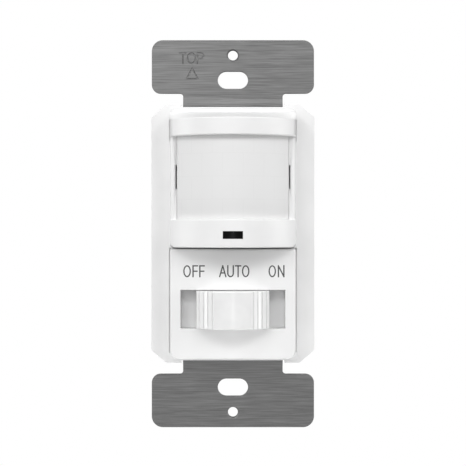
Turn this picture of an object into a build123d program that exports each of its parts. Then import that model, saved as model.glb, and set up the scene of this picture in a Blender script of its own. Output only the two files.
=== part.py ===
from build123d import *
import math
import os

# All sizes in millimetres. X runs to the right, Z up, and the front looks along -Y.
# The origin lies on the rear face of the strap's ears, midway between the two box slots.

# Strap: flat ears on the wall, and a middle ring set forward between the two housings
strap_thickness = 1.2
strap_joggle = 0.6
strap_width = 44.0
box_slot_spacing = 83.34
box_slot_length = 8.2
box_slot_width = 4.7
plate_screw_offset = 6.74
plate_screw_hole_radius = 1.35
plate_screw_countersink = 0.38
plate_screw_spacing = box_slot_spacing + 2 * plate_screw_offset
ear_margin = 4.09
ear_height = 14.45
ear_outer_radius = 3.0
ear_inner_radius = 2.3
strap_height = plate_screw_spacing + 2 * ear_margin
neck_width = 27.0
neck_corner_radius = 0.9
joggle_height = 0.7
joggle_clearance = 0.1

# Front planes
flange_rise = 2.0
face_rise = 7.5
strap_front = -strap_thickness
ring_rear = -strap_joggle
ring_front = ring_rear - strap_thickness
flange_front = strap_front - flange_rise
face_front = strap_front - face_rise

# The face from top to bottom: frame edge, visor roof, visor, lens, bar, gap, cover plate
roof_margin = 1.0
roof_drop = 2.0
visor_height = 4.5
lens_opening = 21.95
bar_height = 7.35
cover_gap = 0.45
window_above = 10.8
window_height = 10.3
window_below = 8.05
cover_height = window_above + window_height + window_below
sensor_height = roof_margin + roof_drop + visor_height + lens_opening + bar_height
face_height = sensor_height + cover_gap + cover_height
face_width = 33.3
half_face = face_width / 2
face_top = face_height / 2
visor_roof_top = face_top - roof_margin
visor_front_top = visor_roof_top - roof_drop
visor_bottom = visor_front_top - visor_height
bar_top = visor_bottom - lens_opening
bar_bottom = bar_top - bar_height
cover_top = bar_bottom - cover_gap
cover_bottom = cover_top - cover_height
window_middle = cover_top - window_above - window_height / 2

# Front housing
flange_setback = 0.05
flange_rim = 1.6
flange_width = strap_width - 2 * flange_setback
flange_height = face_height + 2 * flange_rim
flange_shoulder = 4.05
flange_chamfer_height = 3.4
flange_corner_radius = 1.3
flange_edge_radius = 0.35
flange_notch_gap = 0.4
flange_notch_depth = 0.7
frame_wall = 1.8
frame_top_radius = 0.98
frame_corner_radius = 1.1
soft_edge = 0.35

# Visor and bar, which bulge forward on one barrel with an upright axis
visor_rise = 7.5
visor_side_rise = 0.6
visor_roof_crown = 0.15
visor_wall = 1.4
bar_corner_radius = 1.6
bar_floor = 1.4
visor_front = face_front - visor_rise
visor_sagitta = visor_rise - visor_side_rise
barrel_radius = (half_face**2 + visor_sagitta**2) / (2 * visor_sagitta)
barrel_axis = visor_front + barrel_radius

# Lens
lens_setback = 1.6
lens_thickness = 0.6
lens_gap = 0.1
lens_tuck = 2.15
lens_top_gap = 0.2
lens_leg_tuck = 1.1
lens_leg_depth = 4.2
lens_side_gap = 0.1
tab_height = 6.3
tab_rise = 11.25
tab_reach = 0.25
tab_setback = 1.9
tab_thickness = 1.6
slit_width = 0.35
segment_groove_width = 0.25
segment_groove_depth = 0.12
segment_angles = [-31, -19, -6, 6, 19, 31]
segment_row_rise = 5.25
segment_row_pitch = 6.0
segment_row_count = 2
lens_radius = barrel_radius - lens_setback
lens_inner_radius = lens_radius - lens_thickness
cavity_radius = lens_radius + lens_gap
half_cavity = half_face - frame_wall
half_lens = half_cavity - lens_side_gap
cavity_top = visor_front_top - visor_wall
core_top = face_top - frame_wall
cavity_bottom = bar_bottom + bar_floor
lens_top = cavity_top - lens_top_gap
lens_bottom = bar_top - lens_tuck
lens_leg_top = visor_bottom + lens_leg_tuck
lens_leg_rear = face_front + lens_leg_depth
tab_middle = bar_top + tab_rise
tab_front = face_front + tab_setback
tab_rear = tab_front + tab_thickness

# Cover plate
cover_thickness = 1.5
cover_skirt = 1.2
cover_lift = 0.15
cover_bottom_radius = 2.4
cover_top_radius = 0.4
cover_edge_radius = 0.45
window_side = 2.77
window_rim = 0.9
window_rim_gap = 0.25
cover_front = face_front
cover_inside = cover_front + cover_thickness
cover_rear = flange_front - cover_lift
window_width = face_width - 2 * window_side

# Deck under the cover, and the bosses that take the housing screws
deck_drop = 3.5
deck_wall = 1.6
deck_side = 1.45
deck_foot = 1.4
deck_top_gap = 0.2
deck_top_wall = 0.8
deck_radius = 1.6
deck_front = face_front + deck_drop
deck_rear = deck_front + deck_wall
deck_width = face_width - 2 * deck_side
deck_bottom = cover_bottom + deck_foot
deck_top = cover_top - cover_skirt - deck_top_gap
screw_side = 3.65
screw_end = 3.4
screw_x = half_face - screw_side
screw_z = face_top - screw_end
boss_radius = 2.0
boss_tip_gap = 0.3
boss_cap = 0.8
screw_radius = 1.25
screw_tip_chamfer = 0.6
thread_gap = 0.02
screw_clearance = 0.15
screw_tip_gap = 0.3

# Snap hooks of the cover plate
hook_width = 4.0
hook_thickness = 1.0
hook_x = 5.0
hook_top_margin = 3.2
hook_bottom_margin = 4.0
hook_reach = 1.5
barb_reach = 0.35
barb_length = 0.9
hook_gap = 0.15
hook_top_z = cover_top - hook_top_margin
hook_bottom_z = cover_bottom + hook_bottom_margin
hook_tip = deck_rear + hook_reach

# Slide knob
knob_gap = 0.18
knob_end_gap = 0.28
knob_side_rise = 1.4
knob_rise = 5.8
knob_lift = 0.3
knob_wall = 1.3
knob_edge_radius = 0.3
knob_travel = 4.0
rib_groove_radius = 0.32
rib_edge_distance = 0.85
rib_pitch = 1.17
rib_count = 4
knob_width = window_width - 2 * (knob_travel + knob_end_gap)
half_knob = knob_width / 2
knob_front = face_front - knob_rise
knob_sagitta = knob_rise - knob_side_rise
knob_radius = (half_knob**2 + knob_sagitta**2) / (2 * knob_sagitta)
knob_axis = knob_front + knob_radius
knob_rear = deck_front - knob_lift
knob_half_height = window_height / 2 - knob_gap

# Where the control board stands
board_thickness = 1.6
control_board_depth = 8.1
control_board_front = ring_rear + control_board_depth
control_board_rear = control_board_front + board_thickness

# Slide switch
stem_width = 3.0
stem_height = 3.6
stem_gap = 0.05
stem_proud = 3.3
stem_tip = deck_front - stem_proud
socket_wall = 1.2
slot_gap = 0.25
switch_length = 19.2
switch_height = 8.6
switch_depth = 5.8
switch_base_thickness = 1.2
switch_shell_wall = 0.35
switch_shell_front = control_board_front - switch_depth
actuator_length = 9.0
actuator_height = 7.4
actuator_gap = 0.1
actuator_thickness = 3.0
contact_length = 6.4
contact_height = 1.2
contact_thickness = 0.3
contact_leg = 0.5

# Lens retainer
retainer_thickness = 1.6
retainer_corner_radius = 0.8
retainer_gap = 0.15
retainer_end_gap = 0.2
retainer_post_radius = 1.4
retainer_post_side = 2.05
retainer_post_drop = 1.85
retainer_post_inset = 1.1
retainer_window_margin = 0.4
retainer_window_rise = 0.65
retainer_window_drop = 0.7
retainer_bottom = cavity_bottom + retainer_end_gap
retainer_post_x = half_cavity - retainer_post_side
retainer_post_low = bar_top - retainer_post_drop
retainer_post_high = visor_bottom - retainer_post_inset
retainer_window_half = retainer_post_x - retainer_post_radius - retainer_window_margin
retainer_window_bottom = bar_top + retainer_window_rise
retainer_window_top = visor_bottom - retainer_window_drop
retainer_rear = lens_leg_rear + retainer_thickness

# Light and daylight cell behind the dark window
led_x = -1.4
cell_x = 1.4
chip_light_width = 1.6
chip_light_height = 1.4
chip_light_thickness = 1.5
chip_light_edge = 0.3
chip_cell_width = 2.0
chip_cell_height = 1.6
chip_cell_thickness = 1.2
chip_cell_edge = 0.24

# Dark window and its light pipe
pipe_width = 5.1
pipe_height = 1.9
pipe_rise = 3.27
pipe_gap = 0.06
pipe_recess = 0.3
pipe_end_gap = 0.3
collar_margin = 0.65
collar_thickness = 1.0
collar_drop = 1.9
pipe_middle = bar_bottom + pipe_rise
pipe_rear = control_board_front - chip_light_thickness - pipe_end_gap

# Infrared detector
detector_rise = 10.45
detector_radius = 4.05
detector_rim_radius = 4.6
detector_rim_thickness = 0.5
detector_height = 4.3
detector_edge_radius = 0.5
spacer_thickness = 1.8
spacer_radius = 4.9
filter_width = 3.4
filter_height = 4.4
filter_depth = 0.3
filter_proud = 0.05
lead_radius = 0.23
lead_gap = 0.1
lead_circle = 2.54
lead_angles = [45, 135, 225]
lead_tail = 1.1
detector_z = bar_top + detector_rise

# Setting dials and trimmers
dial_spacing = 9.5
dial_drop = 7.05
dial_radius = 2.7
dial_hole_gap = 0.15
dial_proud = 0.8
dial_flange_radius = 3.1
dial_flange_thickness = 0.7
dial_flange_gap = 0.1
dial_shaft_radius = 1.5
dial_slot_width = 0.8
dial_slot_share = 0.68
dial_slot_depth = 0.6
dial_arrow_radius = 0.45
dial_shaft_gap = 0.05
trimmer_size = 6.6
trimmer_thickness = 4.6
trimmer_edge = 0.55
trimmer_bore_depth = 1.8
shaft_end_gap = 0.1
dial_z = cover_top - dial_drop

# Chips on the back of the control board
controller_width = 8.0
controller_height = 5.2
controller_thickness = 1.7
controller_x = -7.5
controller_z = 4.0
controller_legs = 6
amplifier_width = 5.0
amplifier_height = 4.0
amplifier_thickness = 1.5
amplifier_x = 8.5
amplifier_z = 18.0
amplifier_legs = 4
chip_leg_width = 0.42
chip_leg_reach = 0.9
chip_leg_thickness = 0.25
chip_leg_pitch = 1.27

# Parts on the power board: width along X, height along Z, depth along Y
relay_width = 15.4
relay_height = 18.6
relay_depth = 11.8
relay_edge = 0.8
film_width = 6.0
film_height = 13.0
film_depth = 11.5
film_edge = 0.6
varistor_radius = 4.2
varistor_thickness = 3.4
varistor_edge = 0.85
varistor_foot_thickness = 1.7
varistor_foot_share = 0.7
bulk_radius = 4.0
bulk_height = 12.5
can_edge = 0.5
can_groove_radius = 0.35
can_groove_rise = 1.6
filter_can_radius = 2.6
filter_can_height = 9.0
choke_radius = 3.6
choke_waist_radius = 2.9
choke_height = 8.0
choke_lip = 0.9
rectifier_width = 6.4
rectifier_height = 5.0
rectifier_depth = 2.6
rectifier_edge = 0.43
fuse_radius = 1.9
fuse_length = 10.0
fuse_cap_length = 2.0
fuse_cap_extra = 0.15
resistor_radius = 1.5
resistor_waist = 1.2
resistor_length = 9.6
resistor_end = 2.0
resistor_edge = 0.5

# The power board takes the relay, the film capacitor and the varistor side by side
relay_margin = 1.8
relay_gap = 2.7
film_gap = 1.0
varistor_margin = 1.1
column_radius = 3.6
control_board_end_gap = 0.2
power_board_end_gap = 0.4
relay_row = relay_margin + relay_width + relay_gap
power_board_width = relay_row + film_width + film_gap + varistor_thickness + varistor_margin
power_board_height = 2 * (screw_z - column_radius - power_board_end_gap)
half_board = power_board_width / 2
board_top = power_board_height / 2

# Their places, from the board's edges and from each other
relay_top_margin = 4.3
film_top_margin = 5.7
varistor_top_margin = 5.0
choke_gap = 4.5
bulk_gap = 5.7
choke_margin = 2.1
bulk_margin = 2.3
filter_can_margin = 1.9
filter_can_foot = 5.2
rectifier_margin = 1.5
rectifier_foot = 6.3
fuse_foot = 7.9
resistor_foot = 2.9
relay_x = -half_board + relay_margin + relay_width / 2
relay_z = board_top - relay_top_margin - relay_height / 2
varistor_x = half_board - varistor_margin - varistor_thickness / 2
varistor_z = board_top - varistor_top_margin - varistor_radius
film_x = varistor_x - varistor_thickness / 2 - film_gap - film_width / 2
film_z = board_top - film_top_margin - film_height / 2
choke_x = -half_board + choke_margin + choke_radius
choke_z = relay_z - relay_height / 2 - choke_gap - choke_radius
bulk_x = half_board - bulk_margin - bulk_radius
bulk_z = film_z - film_height / 2 - bulk_gap - bulk_radius
filter_can_x = half_board - filter_can_margin - filter_can_radius
filter_can_z = -board_top + filter_can_foot + filter_can_radius
rectifier_x = -half_board + rectifier_margin + rectifier_width / 2
rectifier_z = -board_top + rectifier_foot + rectifier_height / 2
fuse_x = 0.0
fuse_z = -board_top + fuse_foot + fuse_radius
resistor_x = 0.0
resistor_z = -board_top + resistor_foot + resistor_radius

# Wire terminals in side pockets
pocket_board_gap = 0.1
pocket_wall = 1.4
pocket_depth = 3.4
pocket_setback = 1.9
pocket_length = 11.0
pocket_height = 9.2
terminal_thickness = 1.0
terminal_height = 7.6
terminal_front_gap = 0.6
terminal_leg_height = 4.0
terminal_leg_gap = 0.05
clamp_thickness = 1.0
clamp_size = 7.0
clamp_lip = 0.4
terminal_screw_radius = 1.7
terminal_head_radius = 3.3
terminal_head_height = 1.4
terminal_head_edge = 0.35
terminal_slot_width = 0.9
terminal_slot_depth = 0.7
terminal_screw_tip = 2.6
terminal_hole_gap = 0.25
terminal_z = 9.0
pocket_floor = half_board + pocket_board_gap + pocket_wall
pocket_front = control_board_rear + pocket_setback
pocket_rear = pocket_front + pocket_length
terminal_y = (pocket_front + pocket_rear) / 2

# Rear housing
rear_rim = 0.8
rear_depth = 30.0
rear_wall = 2.0
rear_corner_radius = 2.4
rear_inner_radius = 1.4
rear_edge_radius = 1.2
column_seat = 12.0
well_radius = 2.55
ledge_height = 6.0
ledge_reach = 2.6
ledge_z = 20.0
standoff_radius = 1.7
standoff_x = 12.0
standoff_z = 22.0
label_recess_width = 23.0
label_recess_height = 34.0
label_recess_depth = 0.3
screw_head_radius = 2.3
screw_head_height = 1.7
screw_head_edge = 0.55
screw_recess_radius = 1.0
screw_recess_width = 0.5
screw_recess_depth = 0.9
half_rear = pocket_floor + pocket_depth
rear_width = 2 * half_rear
rear_height = face_height + 2 * rear_rim
half_inside = half_rear - rear_wall
rear_floor = rear_depth - rear_wall

# Control board and power board between the walls
control_board_side_gap = 1.8
power_board_ear_gap = 0.2
power_board_ear_height = 27.0
power_board_gap = 1.0
control_board_width = 2 * (half_inside - control_board_side_gap)
control_board_height = 2 * (screw_z - column_radius - control_board_end_gap)
power_board_ear_width = 2 * (half_inside - power_board_ear_gap)
power_board_rear = rear_floor - power_board_gap
power_board_front = power_board_rear - board_thickness

# Board header
header_z = -10.8
header_pitch = 2.54
header_pin_count = 5
header_height = 2.5
header_thickness = 2.5
header_pin = 0.64
header_edge = 0.25

# Ring of the strap, clamped between the two housings
ring_inset = 0.6
ring_end_inset = 0.5
ring_window_gap = 0.3
ring_window_radius = 1.5
ring_screw_land = 2.6
ring_width = rear_width - 2 * ring_inset
ring_height = rear_height - 2 * ring_end_inset
ring_window_width = deck_width + 2 * ring_window_gap
ring_window_height = 2 * (screw_z - ring_screw_land)

# Ground terminal under the rear housing
ground_width = 9.0
ground_foot = 2.6
ground_thickness = 1.0
ground_reach = 10.5
ground_gap = 0.3
ground_screw_y = 6.0
ground_screw_tip = 2.2
ground_boss_radius = 3.2
ground_boss_cap = 1.0

# One overrun serves all cuts
cut_over = 1.0


def block(x_low, x_high, y_low, y_high, z_low, z_high):
    # A box between its six faces
    size = Box(x_high - x_low, y_high - y_low, z_high - z_low)
    return Pos((x_low + x_high) / 2, (y_low + y_high) / 2, (z_low + z_high) / 2) * size


def post(x, z, radius, y_low, y_high):
    # A round post along Y
    turned = Rot(90, 0, 0) * Cylinder(radius, y_high - y_low)
    return Pos(x, (y_low + y_high) / 2, z) * turned


def side_post(y, z, radius, x_low, x_high):
    # A round post along X
    turned = Rot(0, 90, 0) * Cylinder(radius, x_high - x_low)
    return Pos((x_low + x_high) / 2, y, z) * turned


def front_slab(outline, y_front, y_rear):
    # An outline drawn in the front view, X across and Z up, given thickness along Y
    placed = Plane.XZ.offset(-y_rear) * outline
    return extrude(placed, amount=y_rear - y_front)


def bowed_outline(half_width, side_y, middle_y, y_rear):
    # A plan outline with a straight rear and a front that bows from its sides to its middle
    return make_face(
        [
            Line((-half_width, y_rear), (half_width, y_rear)),
            Line((half_width, y_rear), (half_width, side_y)),
            ThreePointArc((half_width, side_y), (0, middle_y), (-half_width, side_y)),
            Line((-half_width, side_y), (-half_width, y_rear)),
        ]
    )


def barrel(radius, axis_y, half_width, y_rear, z_low, z_high):
    # A block whose front is part of an upright cylinder
    side_y = axis_y - math.sqrt(radius**2 - half_width**2)
    outline = bowed_outline(half_width, side_y, axis_y - radius, y_rear)
    return Pos(0, 0, z_low) * extrude(outline, amount=z_high - z_low, dir=(0, 0, 1))


def screw_places():
    return [(x, z) for x in (-screw_x, screw_x) for z in (-screw_z, screw_z)]


def mounting_strap():
    half_height = strap_height / 2
    ear_middle = half_height - ear_height / 2
    ear = Rectangle(strap_width, ear_height)
    outer_first = ear.vertices().sort_by(Axis.Y)
    ear = fillet(outer_first[-2:], ear_outer_radius)
    ear = fillet(ear.vertices().sort_by(Axis.Y)[:2], ear_inner_radius)
    outline = Pos(0, ear_middle) * ear + Pos(0, -ear_middle) * (Rot(0, 0, 180) * ear)
    outline += Rectangle(neck_width, strap_height - ear_height)
    inner_edge = half_height - ear_height
    corners = [
        vertex
        for vertex in outline.vertices()
        if math.isclose(abs(vertex.X), neck_width / 2, abs_tol=joggle_clearance)
        and math.isclose(abs(vertex.Y), inner_edge, abs_tol=joggle_clearance)
    ]
    outline = fillet(corners, neck_corner_radius)
    outline += RectangleRounded(ring_width, ring_height, ring_window_radius)
    outline -= RectangleRounded(ring_window_width, ring_window_height, ring_window_radius)
    for side in (-1, 1):
        slot = SlotOverall(box_slot_length, box_slot_width)
        outline -= Pos(0, side * box_slot_spacing / 2) * slot
    plate = front_slab(outline, ring_front - cut_over, cut_over)

    joggle_low = flange_height / 2 + joggle_clearance
    joggle_high = joggle_low + joggle_height
    rear_line = [
        (0, half_height),
        (0, joggle_high),
        (ring_rear, joggle_low),
        (ring_rear, -joggle_low),
        (0, -joggle_high),
        (0, -half_height),
    ]
    front_line = [(y - strap_thickness, z) for y, z in reversed(rear_line)]
    side_outline = Plane.YZ * Polygon(*rear_line, *front_line, align=None)
    strip = extrude(side_outline, amount=strap_width / 2, both=True)
    strap = plate & strip

    for side in (-1, 1):
        hole_z = side * plate_screw_spacing / 2
        strap -= post(0, hole_z, plate_screw_hole_radius, strap_front - cut_over, cut_over)
        sink = Cone(
            plate_screw_hole_radius,
            plate_screw_hole_radius + plate_screw_countersink,
            plate_screw_countersink,
        )
        sink_y = strap_front + plate_screw_countersink / 2
        strap -= Pos(0, sink_y, hole_z) * (Rot(90, 0, 0) * sink)
    for x, z in screw_places():
        strap -= post(x, z, screw_radius + screw_clearance, ring_front - cut_over, cut_over)
    return strap


def flange_outline():
    half_width = flange_width / 2
    half_height = flange_height / 2
    shoulder = half_height - flange_chamfer_height
    notch = neck_width / 2 + flange_notch_gap
    corner_x = notch + flange_shoulder
    quarter = [
        (half_width, shoulder),
        (corner_x, half_height),
        (notch, half_height),
        (notch, half_height - flange_notch_depth),
    ]
    right = [(x, -z) for x, z in reversed(quarter)] + quarter
    left = [(-x, z) for x, z in reversed(right)]
    outline = Polygon(*right, *left, align=None)
    corners = [v for v in outline.vertices() if abs(v.X) > notch + flange_corner_radius]
    return fillet(corners, flange_corner_radius)


def visor():
    # A bowed band with a roof that slopes back to the raised frame
    rear = flange_front
    side_y = face_front - visor_side_rise
    band = barrel(barrel_radius, barrel_axis, half_face, rear, visor_bottom, visor_front_top)
    lower = bowed_outline(half_face, side_y, visor_front, rear)
    upper = bowed_outline(half_face, face_front, face_front - visor_roof_crown, rear)
    roof = loft([Pos(0, 0, visor_front_top) * lower, Pos(0, 0, visor_roof_top) * upper], ruled=True)
    shape = band + roof
    curved = [
        edge
        for edge in shape.edges().filter_by(GeomType.CIRCLE)
        if edge.center().Z < visor_roof_top - soft_edge
    ]
    return fillet(curved, soft_edge)


def bar():
    shape = barrel(
        barrel_radius, barrel_axis, half_face, flange_front, bar_bottom, bar_top
    )
    lower_corners = shape.edges().filter_by(Axis.Y).group_by(Axis.Z)[0]
    shape = fillet(lower_corners, bar_corner_radius)
    return fillet(shape.faces().sort_by(Axis.Y)[0].edges(), soft_edge)


def front_housing():
    flange = front_slab(flange_outline(), flange_front, ring_front)
    flange = fillet(flange.faces().sort_by(Axis.Y)[0].edges(), flange_edge_radius)

    frame = block(-half_face, half_face, face_front, ring_front, bar_bottom, face_top)
    frame = fillet(frame.edges().filter_by(Axis.Y).group_by(Axis.Z)[-1], frame_corner_radius)
    top_front = [
        edge
        for edge in frame.faces().sort_by(Axis.Y)[0].edges()
        if edge.center().Z > visor_roof_top
    ]
    frame = fillet(top_front, frame_top_radius)

    half_deck = deck_width / 2
    deck = block(-half_deck, half_deck, deck_front, ring_front, deck_bottom, deck_top)
    deck = fillet(deck.edges().filter_by(Axis.Y).group_by(Axis.Z)[0], deck_radius)

    body = flange + frame + visor() + bar() + deck
    body -= barrel(
        cavity_radius,
        barrel_axis,
        half_cavity,
        ring_front + cut_over,
        cavity_bottom,
        cavity_top,
    )
    body -= block(
        -half_deck + deck_wall,
        half_deck - deck_wall,
        deck_rear,
        ring_front + cut_over,
        deck_bottom + deck_wall,
        deck_top - deck_top_wall,
    )

    body -= block(
        -half_cavity,
        half_cavity,
        face_front + frame_wall,
        ring_front + cut_over,
        cavity_bottom,
        core_top,
    )

    boss_tip = cover_inside + boss_tip_gap
    for x, z in screw_places():
        body += post(x, z, boss_radius, boss_tip, ring_front)
        body -= post(x, z, screw_radius + thread_gap, boss_tip + boss_cap, ring_front + cut_over)

    for side in (-1, 1):
        slit_inner = side * half_cavity
        slit_outer = side * (half_cavity + slit_width)
        body -= block(
            min(slit_inner, slit_outer),
            max(slit_inner, slit_outer),
            face_front - cut_over,
            tab_rear + lens_gap,
            tab_middle - tab_height / 2,
            tab_middle + tab_height / 2,
        )

    body -= block(
        -pipe_width / 2 - pipe_gap,
        pipe_width / 2 + pipe_gap,
        visor_front - cut_over,
        face_front,
        pipe_middle - pipe_height / 2 - pipe_gap,
        pipe_middle + pipe_height / 2 + pipe_gap,
    )

    slot_half_width = stem_width / 2 + knob_travel + slot_gap
    slot_half_height = stem_height / 2 + slot_gap
    body -= block(
        -slot_half_width,
        slot_half_width,
        deck_front - cut_over,
        deck_rear + cut_over,
        window_middle - slot_half_height,
        window_middle + slot_half_height,
    )
    for x in dial_places():
        hole = dial_radius + dial_hole_gap
        body -= post(x, dial_z, hole, deck_front - cut_over, deck_rear + cut_over)
    for x, z, outward in hook_places():
        body -= hook_slot(x, z, outward)
    return body


def hook_places():
    # Each hook's middle, and the way its barb points
    top = [(x, hook_top_z, 1) for x in (-hook_x, hook_x)]
    bottom = [(x, hook_bottom_z, -1) for x in (-hook_x, hook_x)]
    return top + bottom


def hook_slot(x, z, outward):
    inner = z - outward * (hook_thickness / 2 + hook_gap)
    outer = z + outward * (hook_thickness / 2 + barb_reach + hook_gap)
    return block(
        x - hook_width / 2 - hook_gap,
        x + hook_width / 2 + hook_gap,
        deck_front - cut_over,
        deck_rear + cut_over,
        min(inner, outer),
        max(inner, outer),
    )


def dial_places():
    return [-dial_spacing, 0, dial_spacing]


def fresnel_lens():
    rear = lens_leg_rear
    outer = barrel(lens_radius, barrel_axis, half_lens, rear, lens_bottom, lens_top)
    half_inner = half_lens - lens_thickness
    inner = barrel(
        lens_inner_radius,
        barrel_axis,
        half_inner,
        rear + cut_over,
        lens_bottom - cut_over,
        lens_top + cut_over,
    )
    shell = outer - inner
    edge_y = barrel_axis - math.sqrt(lens_radius**2 - half_lens**2)
    shell -= block(
        -half_lens - cut_over,
        half_lens + cut_over,
        edge_y + lens_thickness,
        rear + cut_over,
        lens_leg_top,
        lens_top + cut_over,
    )
    for angle in segment_angles:
        reach = lens_inner_radius + segment_groove_depth
        groove = Pos(0, -reach / 2, 0) * Box(segment_groove_width, reach, lens_top - lens_bottom)
        middle = (lens_top + lens_bottom) / 2
        shell -= Pos(0, barrel_axis, middle) * (Rot(0, 0, angle) * groove)
    for row in range(segment_row_count):
        height = bar_top + segment_row_rise + row * segment_row_pitch
        disc = Cylinder(lens_inner_radius + segment_groove_depth, segment_groove_width)
        kept = block(
            -half_inner + lens_thickness,
            half_inner - lens_thickness,
            visor_front,
            edge_y,
            height - segment_groove_width,
            height + segment_groove_width,
        )
        shell -= (Pos(0, barrel_axis, height) * disc) & kept
    for side in (-1, 1):
        near = side * half_inner
        far = side * (half_lens + tab_reach)
        shell += block(
            min(near, far),
            max(near, far),
            tab_front,
            tab_rear,
            tab_middle - tab_height / 2 + lens_gap,
            tab_middle + tab_height / 2 - lens_gap,
        )
    return shell


def retainer_posts():
    return [
        (x, z)
        for x in (-retainer_post_x, retainer_post_x)
        for z in (retainer_post_low, retainer_post_high)
    ]


def lens_retainer():
    half = half_cavity - retainer_gap
    plate = block(-half, half, lens_leg_rear, retainer_rear, retainer_bottom, lens_leg_top)
    plate = fillet(plate.edges().filter_by(Axis.Y), retainer_corner_radius)
    plate -= block(
        -retainer_window_half,
        retainer_window_half,
        lens_leg_rear - cut_over,
        retainer_rear + cut_over,
        retainer_window_bottom,
        retainer_window_top,
    )
    plate -= block(
        -pipe_width / 2 - pipe_gap,
        pipe_width / 2 + pipe_gap,
        lens_leg_rear - cut_over,
        retainer_rear + cut_over,
        pipe_middle - pipe_height / 2 - pipe_gap,
        pipe_middle + pipe_height / 2 + pipe_gap,
    )
    for x, z in retainer_posts():
        plate += post(x, z, retainer_post_radius, retainer_rear, control_board_front)
    return plate


def sensor_window():
    pipe = block(
        -pipe_width / 2,
        pipe_width / 2,
        visor_front - cut_over,
        pipe_rear,
        pipe_middle - pipe_height / 2,
        pipe_middle + pipe_height / 2,
    )
    front = barrel(
        barrel_radius - pipe_recess,
        barrel_axis,
        half_cavity,
        pipe_rear + cut_over,
        pipe_middle - pipe_height,
        pipe_middle + pipe_height,
    )
    pipe = pipe & front
    collar_front = visor_front + collar_drop
    pipe += block(
        -pipe_width / 2 - collar_margin,
        pipe_width / 2 + collar_margin,
        collar_front,
        collar_front + collar_thickness,
        pipe_middle - pipe_height / 2 - collar_margin,
        pipe_middle + pipe_height / 2 + collar_margin,
    )
    return pipe


def lead_places():
    return [
        (
            lead_circle * math.cos(math.radians(angle)),
            detector_z + lead_circle * math.sin(math.radians(angle)),
        )
        for angle in lead_angles
    ]


def control_board():
    half = control_board_width / 2
    half_height = control_board_height / 2
    board = block(-half, half, control_board_front, control_board_rear, -half_height, half_height)
    for x, z in lead_places():
        hole = lead_radius + lead_gap
        board -= post(x, z, hole, control_board_front - cut_over, control_board_rear + cut_over)
    return board


def detector_parts():
    base = control_board_front - spacer_thickness
    front = base - detector_height
    can = post(0, detector_z, detector_radius, front, base)
    can = fillet(can.faces().sort_by(Axis.Y)[0].edges(), detector_edge_radius)
    can += post(0, detector_z, detector_rim_radius, base - detector_rim_thickness, base)
    can -= block(
        -filter_width / 2,
        filter_width / 2,
        front - cut_over,
        front + filter_depth,
        detector_z - filter_height / 2,
        detector_z + filter_height / 2,
    )
    glass = block(
        -filter_width / 2,
        filter_width / 2,
        front - filter_proud,
        front + filter_depth,
        detector_z - filter_height / 2,
        detector_z + filter_height / 2,
    )
    spacer = post(0, detector_z, spacer_radius, base, control_board_front)
    leads = []
    for x, z in lead_places():
        hole = lead_radius + lead_gap
        spacer -= post(x, z, hole, base - cut_over, control_board_front + cut_over)
        leads.append(post(x, z, lead_radius, base, control_board_rear + lead_tail))
    return {
        "pir_detector": can,
        "pir_filter": glass,
        "pir_spacer": spacer,
        "pir_leads": Compound(children=leads),
    }


def on_control_board(x, z, width, height, depth):
    front = control_board_front - depth
    return block(
        x - width / 2, x + width / 2, front, control_board_front, z - height / 2, z + height / 2
    )


def indicator_led():
    lamp = on_control_board(
        led_x, pipe_middle, chip_light_width, chip_light_height, chip_light_thickness
    )
    return fillet(lamp.faces().sort_by(Axis.Y)[0].edges(), chip_light_edge)


def photocell():
    cell = on_control_board(
        cell_x, pipe_middle, chip_cell_width, chip_cell_height, chip_cell_thickness
    )
    return chamfer(cell.faces().sort_by(Axis.Y)[0].edges(), chip_cell_edge)


def dial(x):
    front = deck_front - dial_proud
    flange_y = deck_rear + dial_flange_gap
    trimmer_front = control_board_front - trimmer_thickness
    shaft_end = trimmer_front + trimmer_bore_depth - shaft_end_gap
    cap = post(x, dial_z, dial_radius, front, flange_y)
    cap = chamfer(cap.faces().sort_by(Axis.Y)[0].edges(), dial_hole_gap)
    cap += post(x, dial_z, dial_flange_radius, flange_y, flange_y + dial_flange_thickness)
    cap += post(x, dial_z, dial_shaft_radius, flange_y, shaft_end)
    slot_half = dial_radius * dial_slot_share
    cap -= block(
        x - dial_slot_width / 2,
        x + dial_slot_width / 2,
        front - cut_over,
        front + dial_slot_depth,
        dial_z - slot_half,
        dial_z + slot_half,
    )
    cap -= post(
        x, dial_z + slot_half, dial_arrow_radius, front - cut_over, front + dial_slot_depth
    )
    return cap


def trimmer(x):
    body = on_control_board(x, dial_z, trimmer_size, trimmer_size, trimmer_thickness)
    body = chamfer(body.edges().filter_by(Axis.Y), trimmer_edge)
    front = control_board_front - trimmer_thickness
    bore = dial_shaft_radius + dial_shaft_gap
    return body - post(x, dial_z, bore, front - cut_over, front + trimmer_bore_depth)


def chip(x, z, width, height, thickness, legs):
    # A chip on the back of the control board, with flat legs along its two long sides
    rear = control_board_rear
    lift = chip_leg_thickness / 2
    body = block(
        x - width / 2,
        x + width / 2,
        rear + lift,
        rear + thickness,
        z - height / 2,
        z + height / 2,
    )
    body = chamfer(body.faces().sort_by(Axis.Y)[-1].edges(), lift)
    first = x - chip_leg_pitch * (legs - 1) / 2
    for index in range(legs):
        leg_x = first + index * chip_leg_pitch
        body += block(
            leg_x - chip_leg_width / 2,
            leg_x + chip_leg_width / 2,
            rear,
            rear + chip_leg_thickness,
            z - height / 2 - chip_leg_reach,
            z + height / 2 + chip_leg_reach,
        )
    return body


def slide_switch_base():
    return on_control_board(0, window_middle, switch_length, switch_height, switch_base_thickness)


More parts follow.
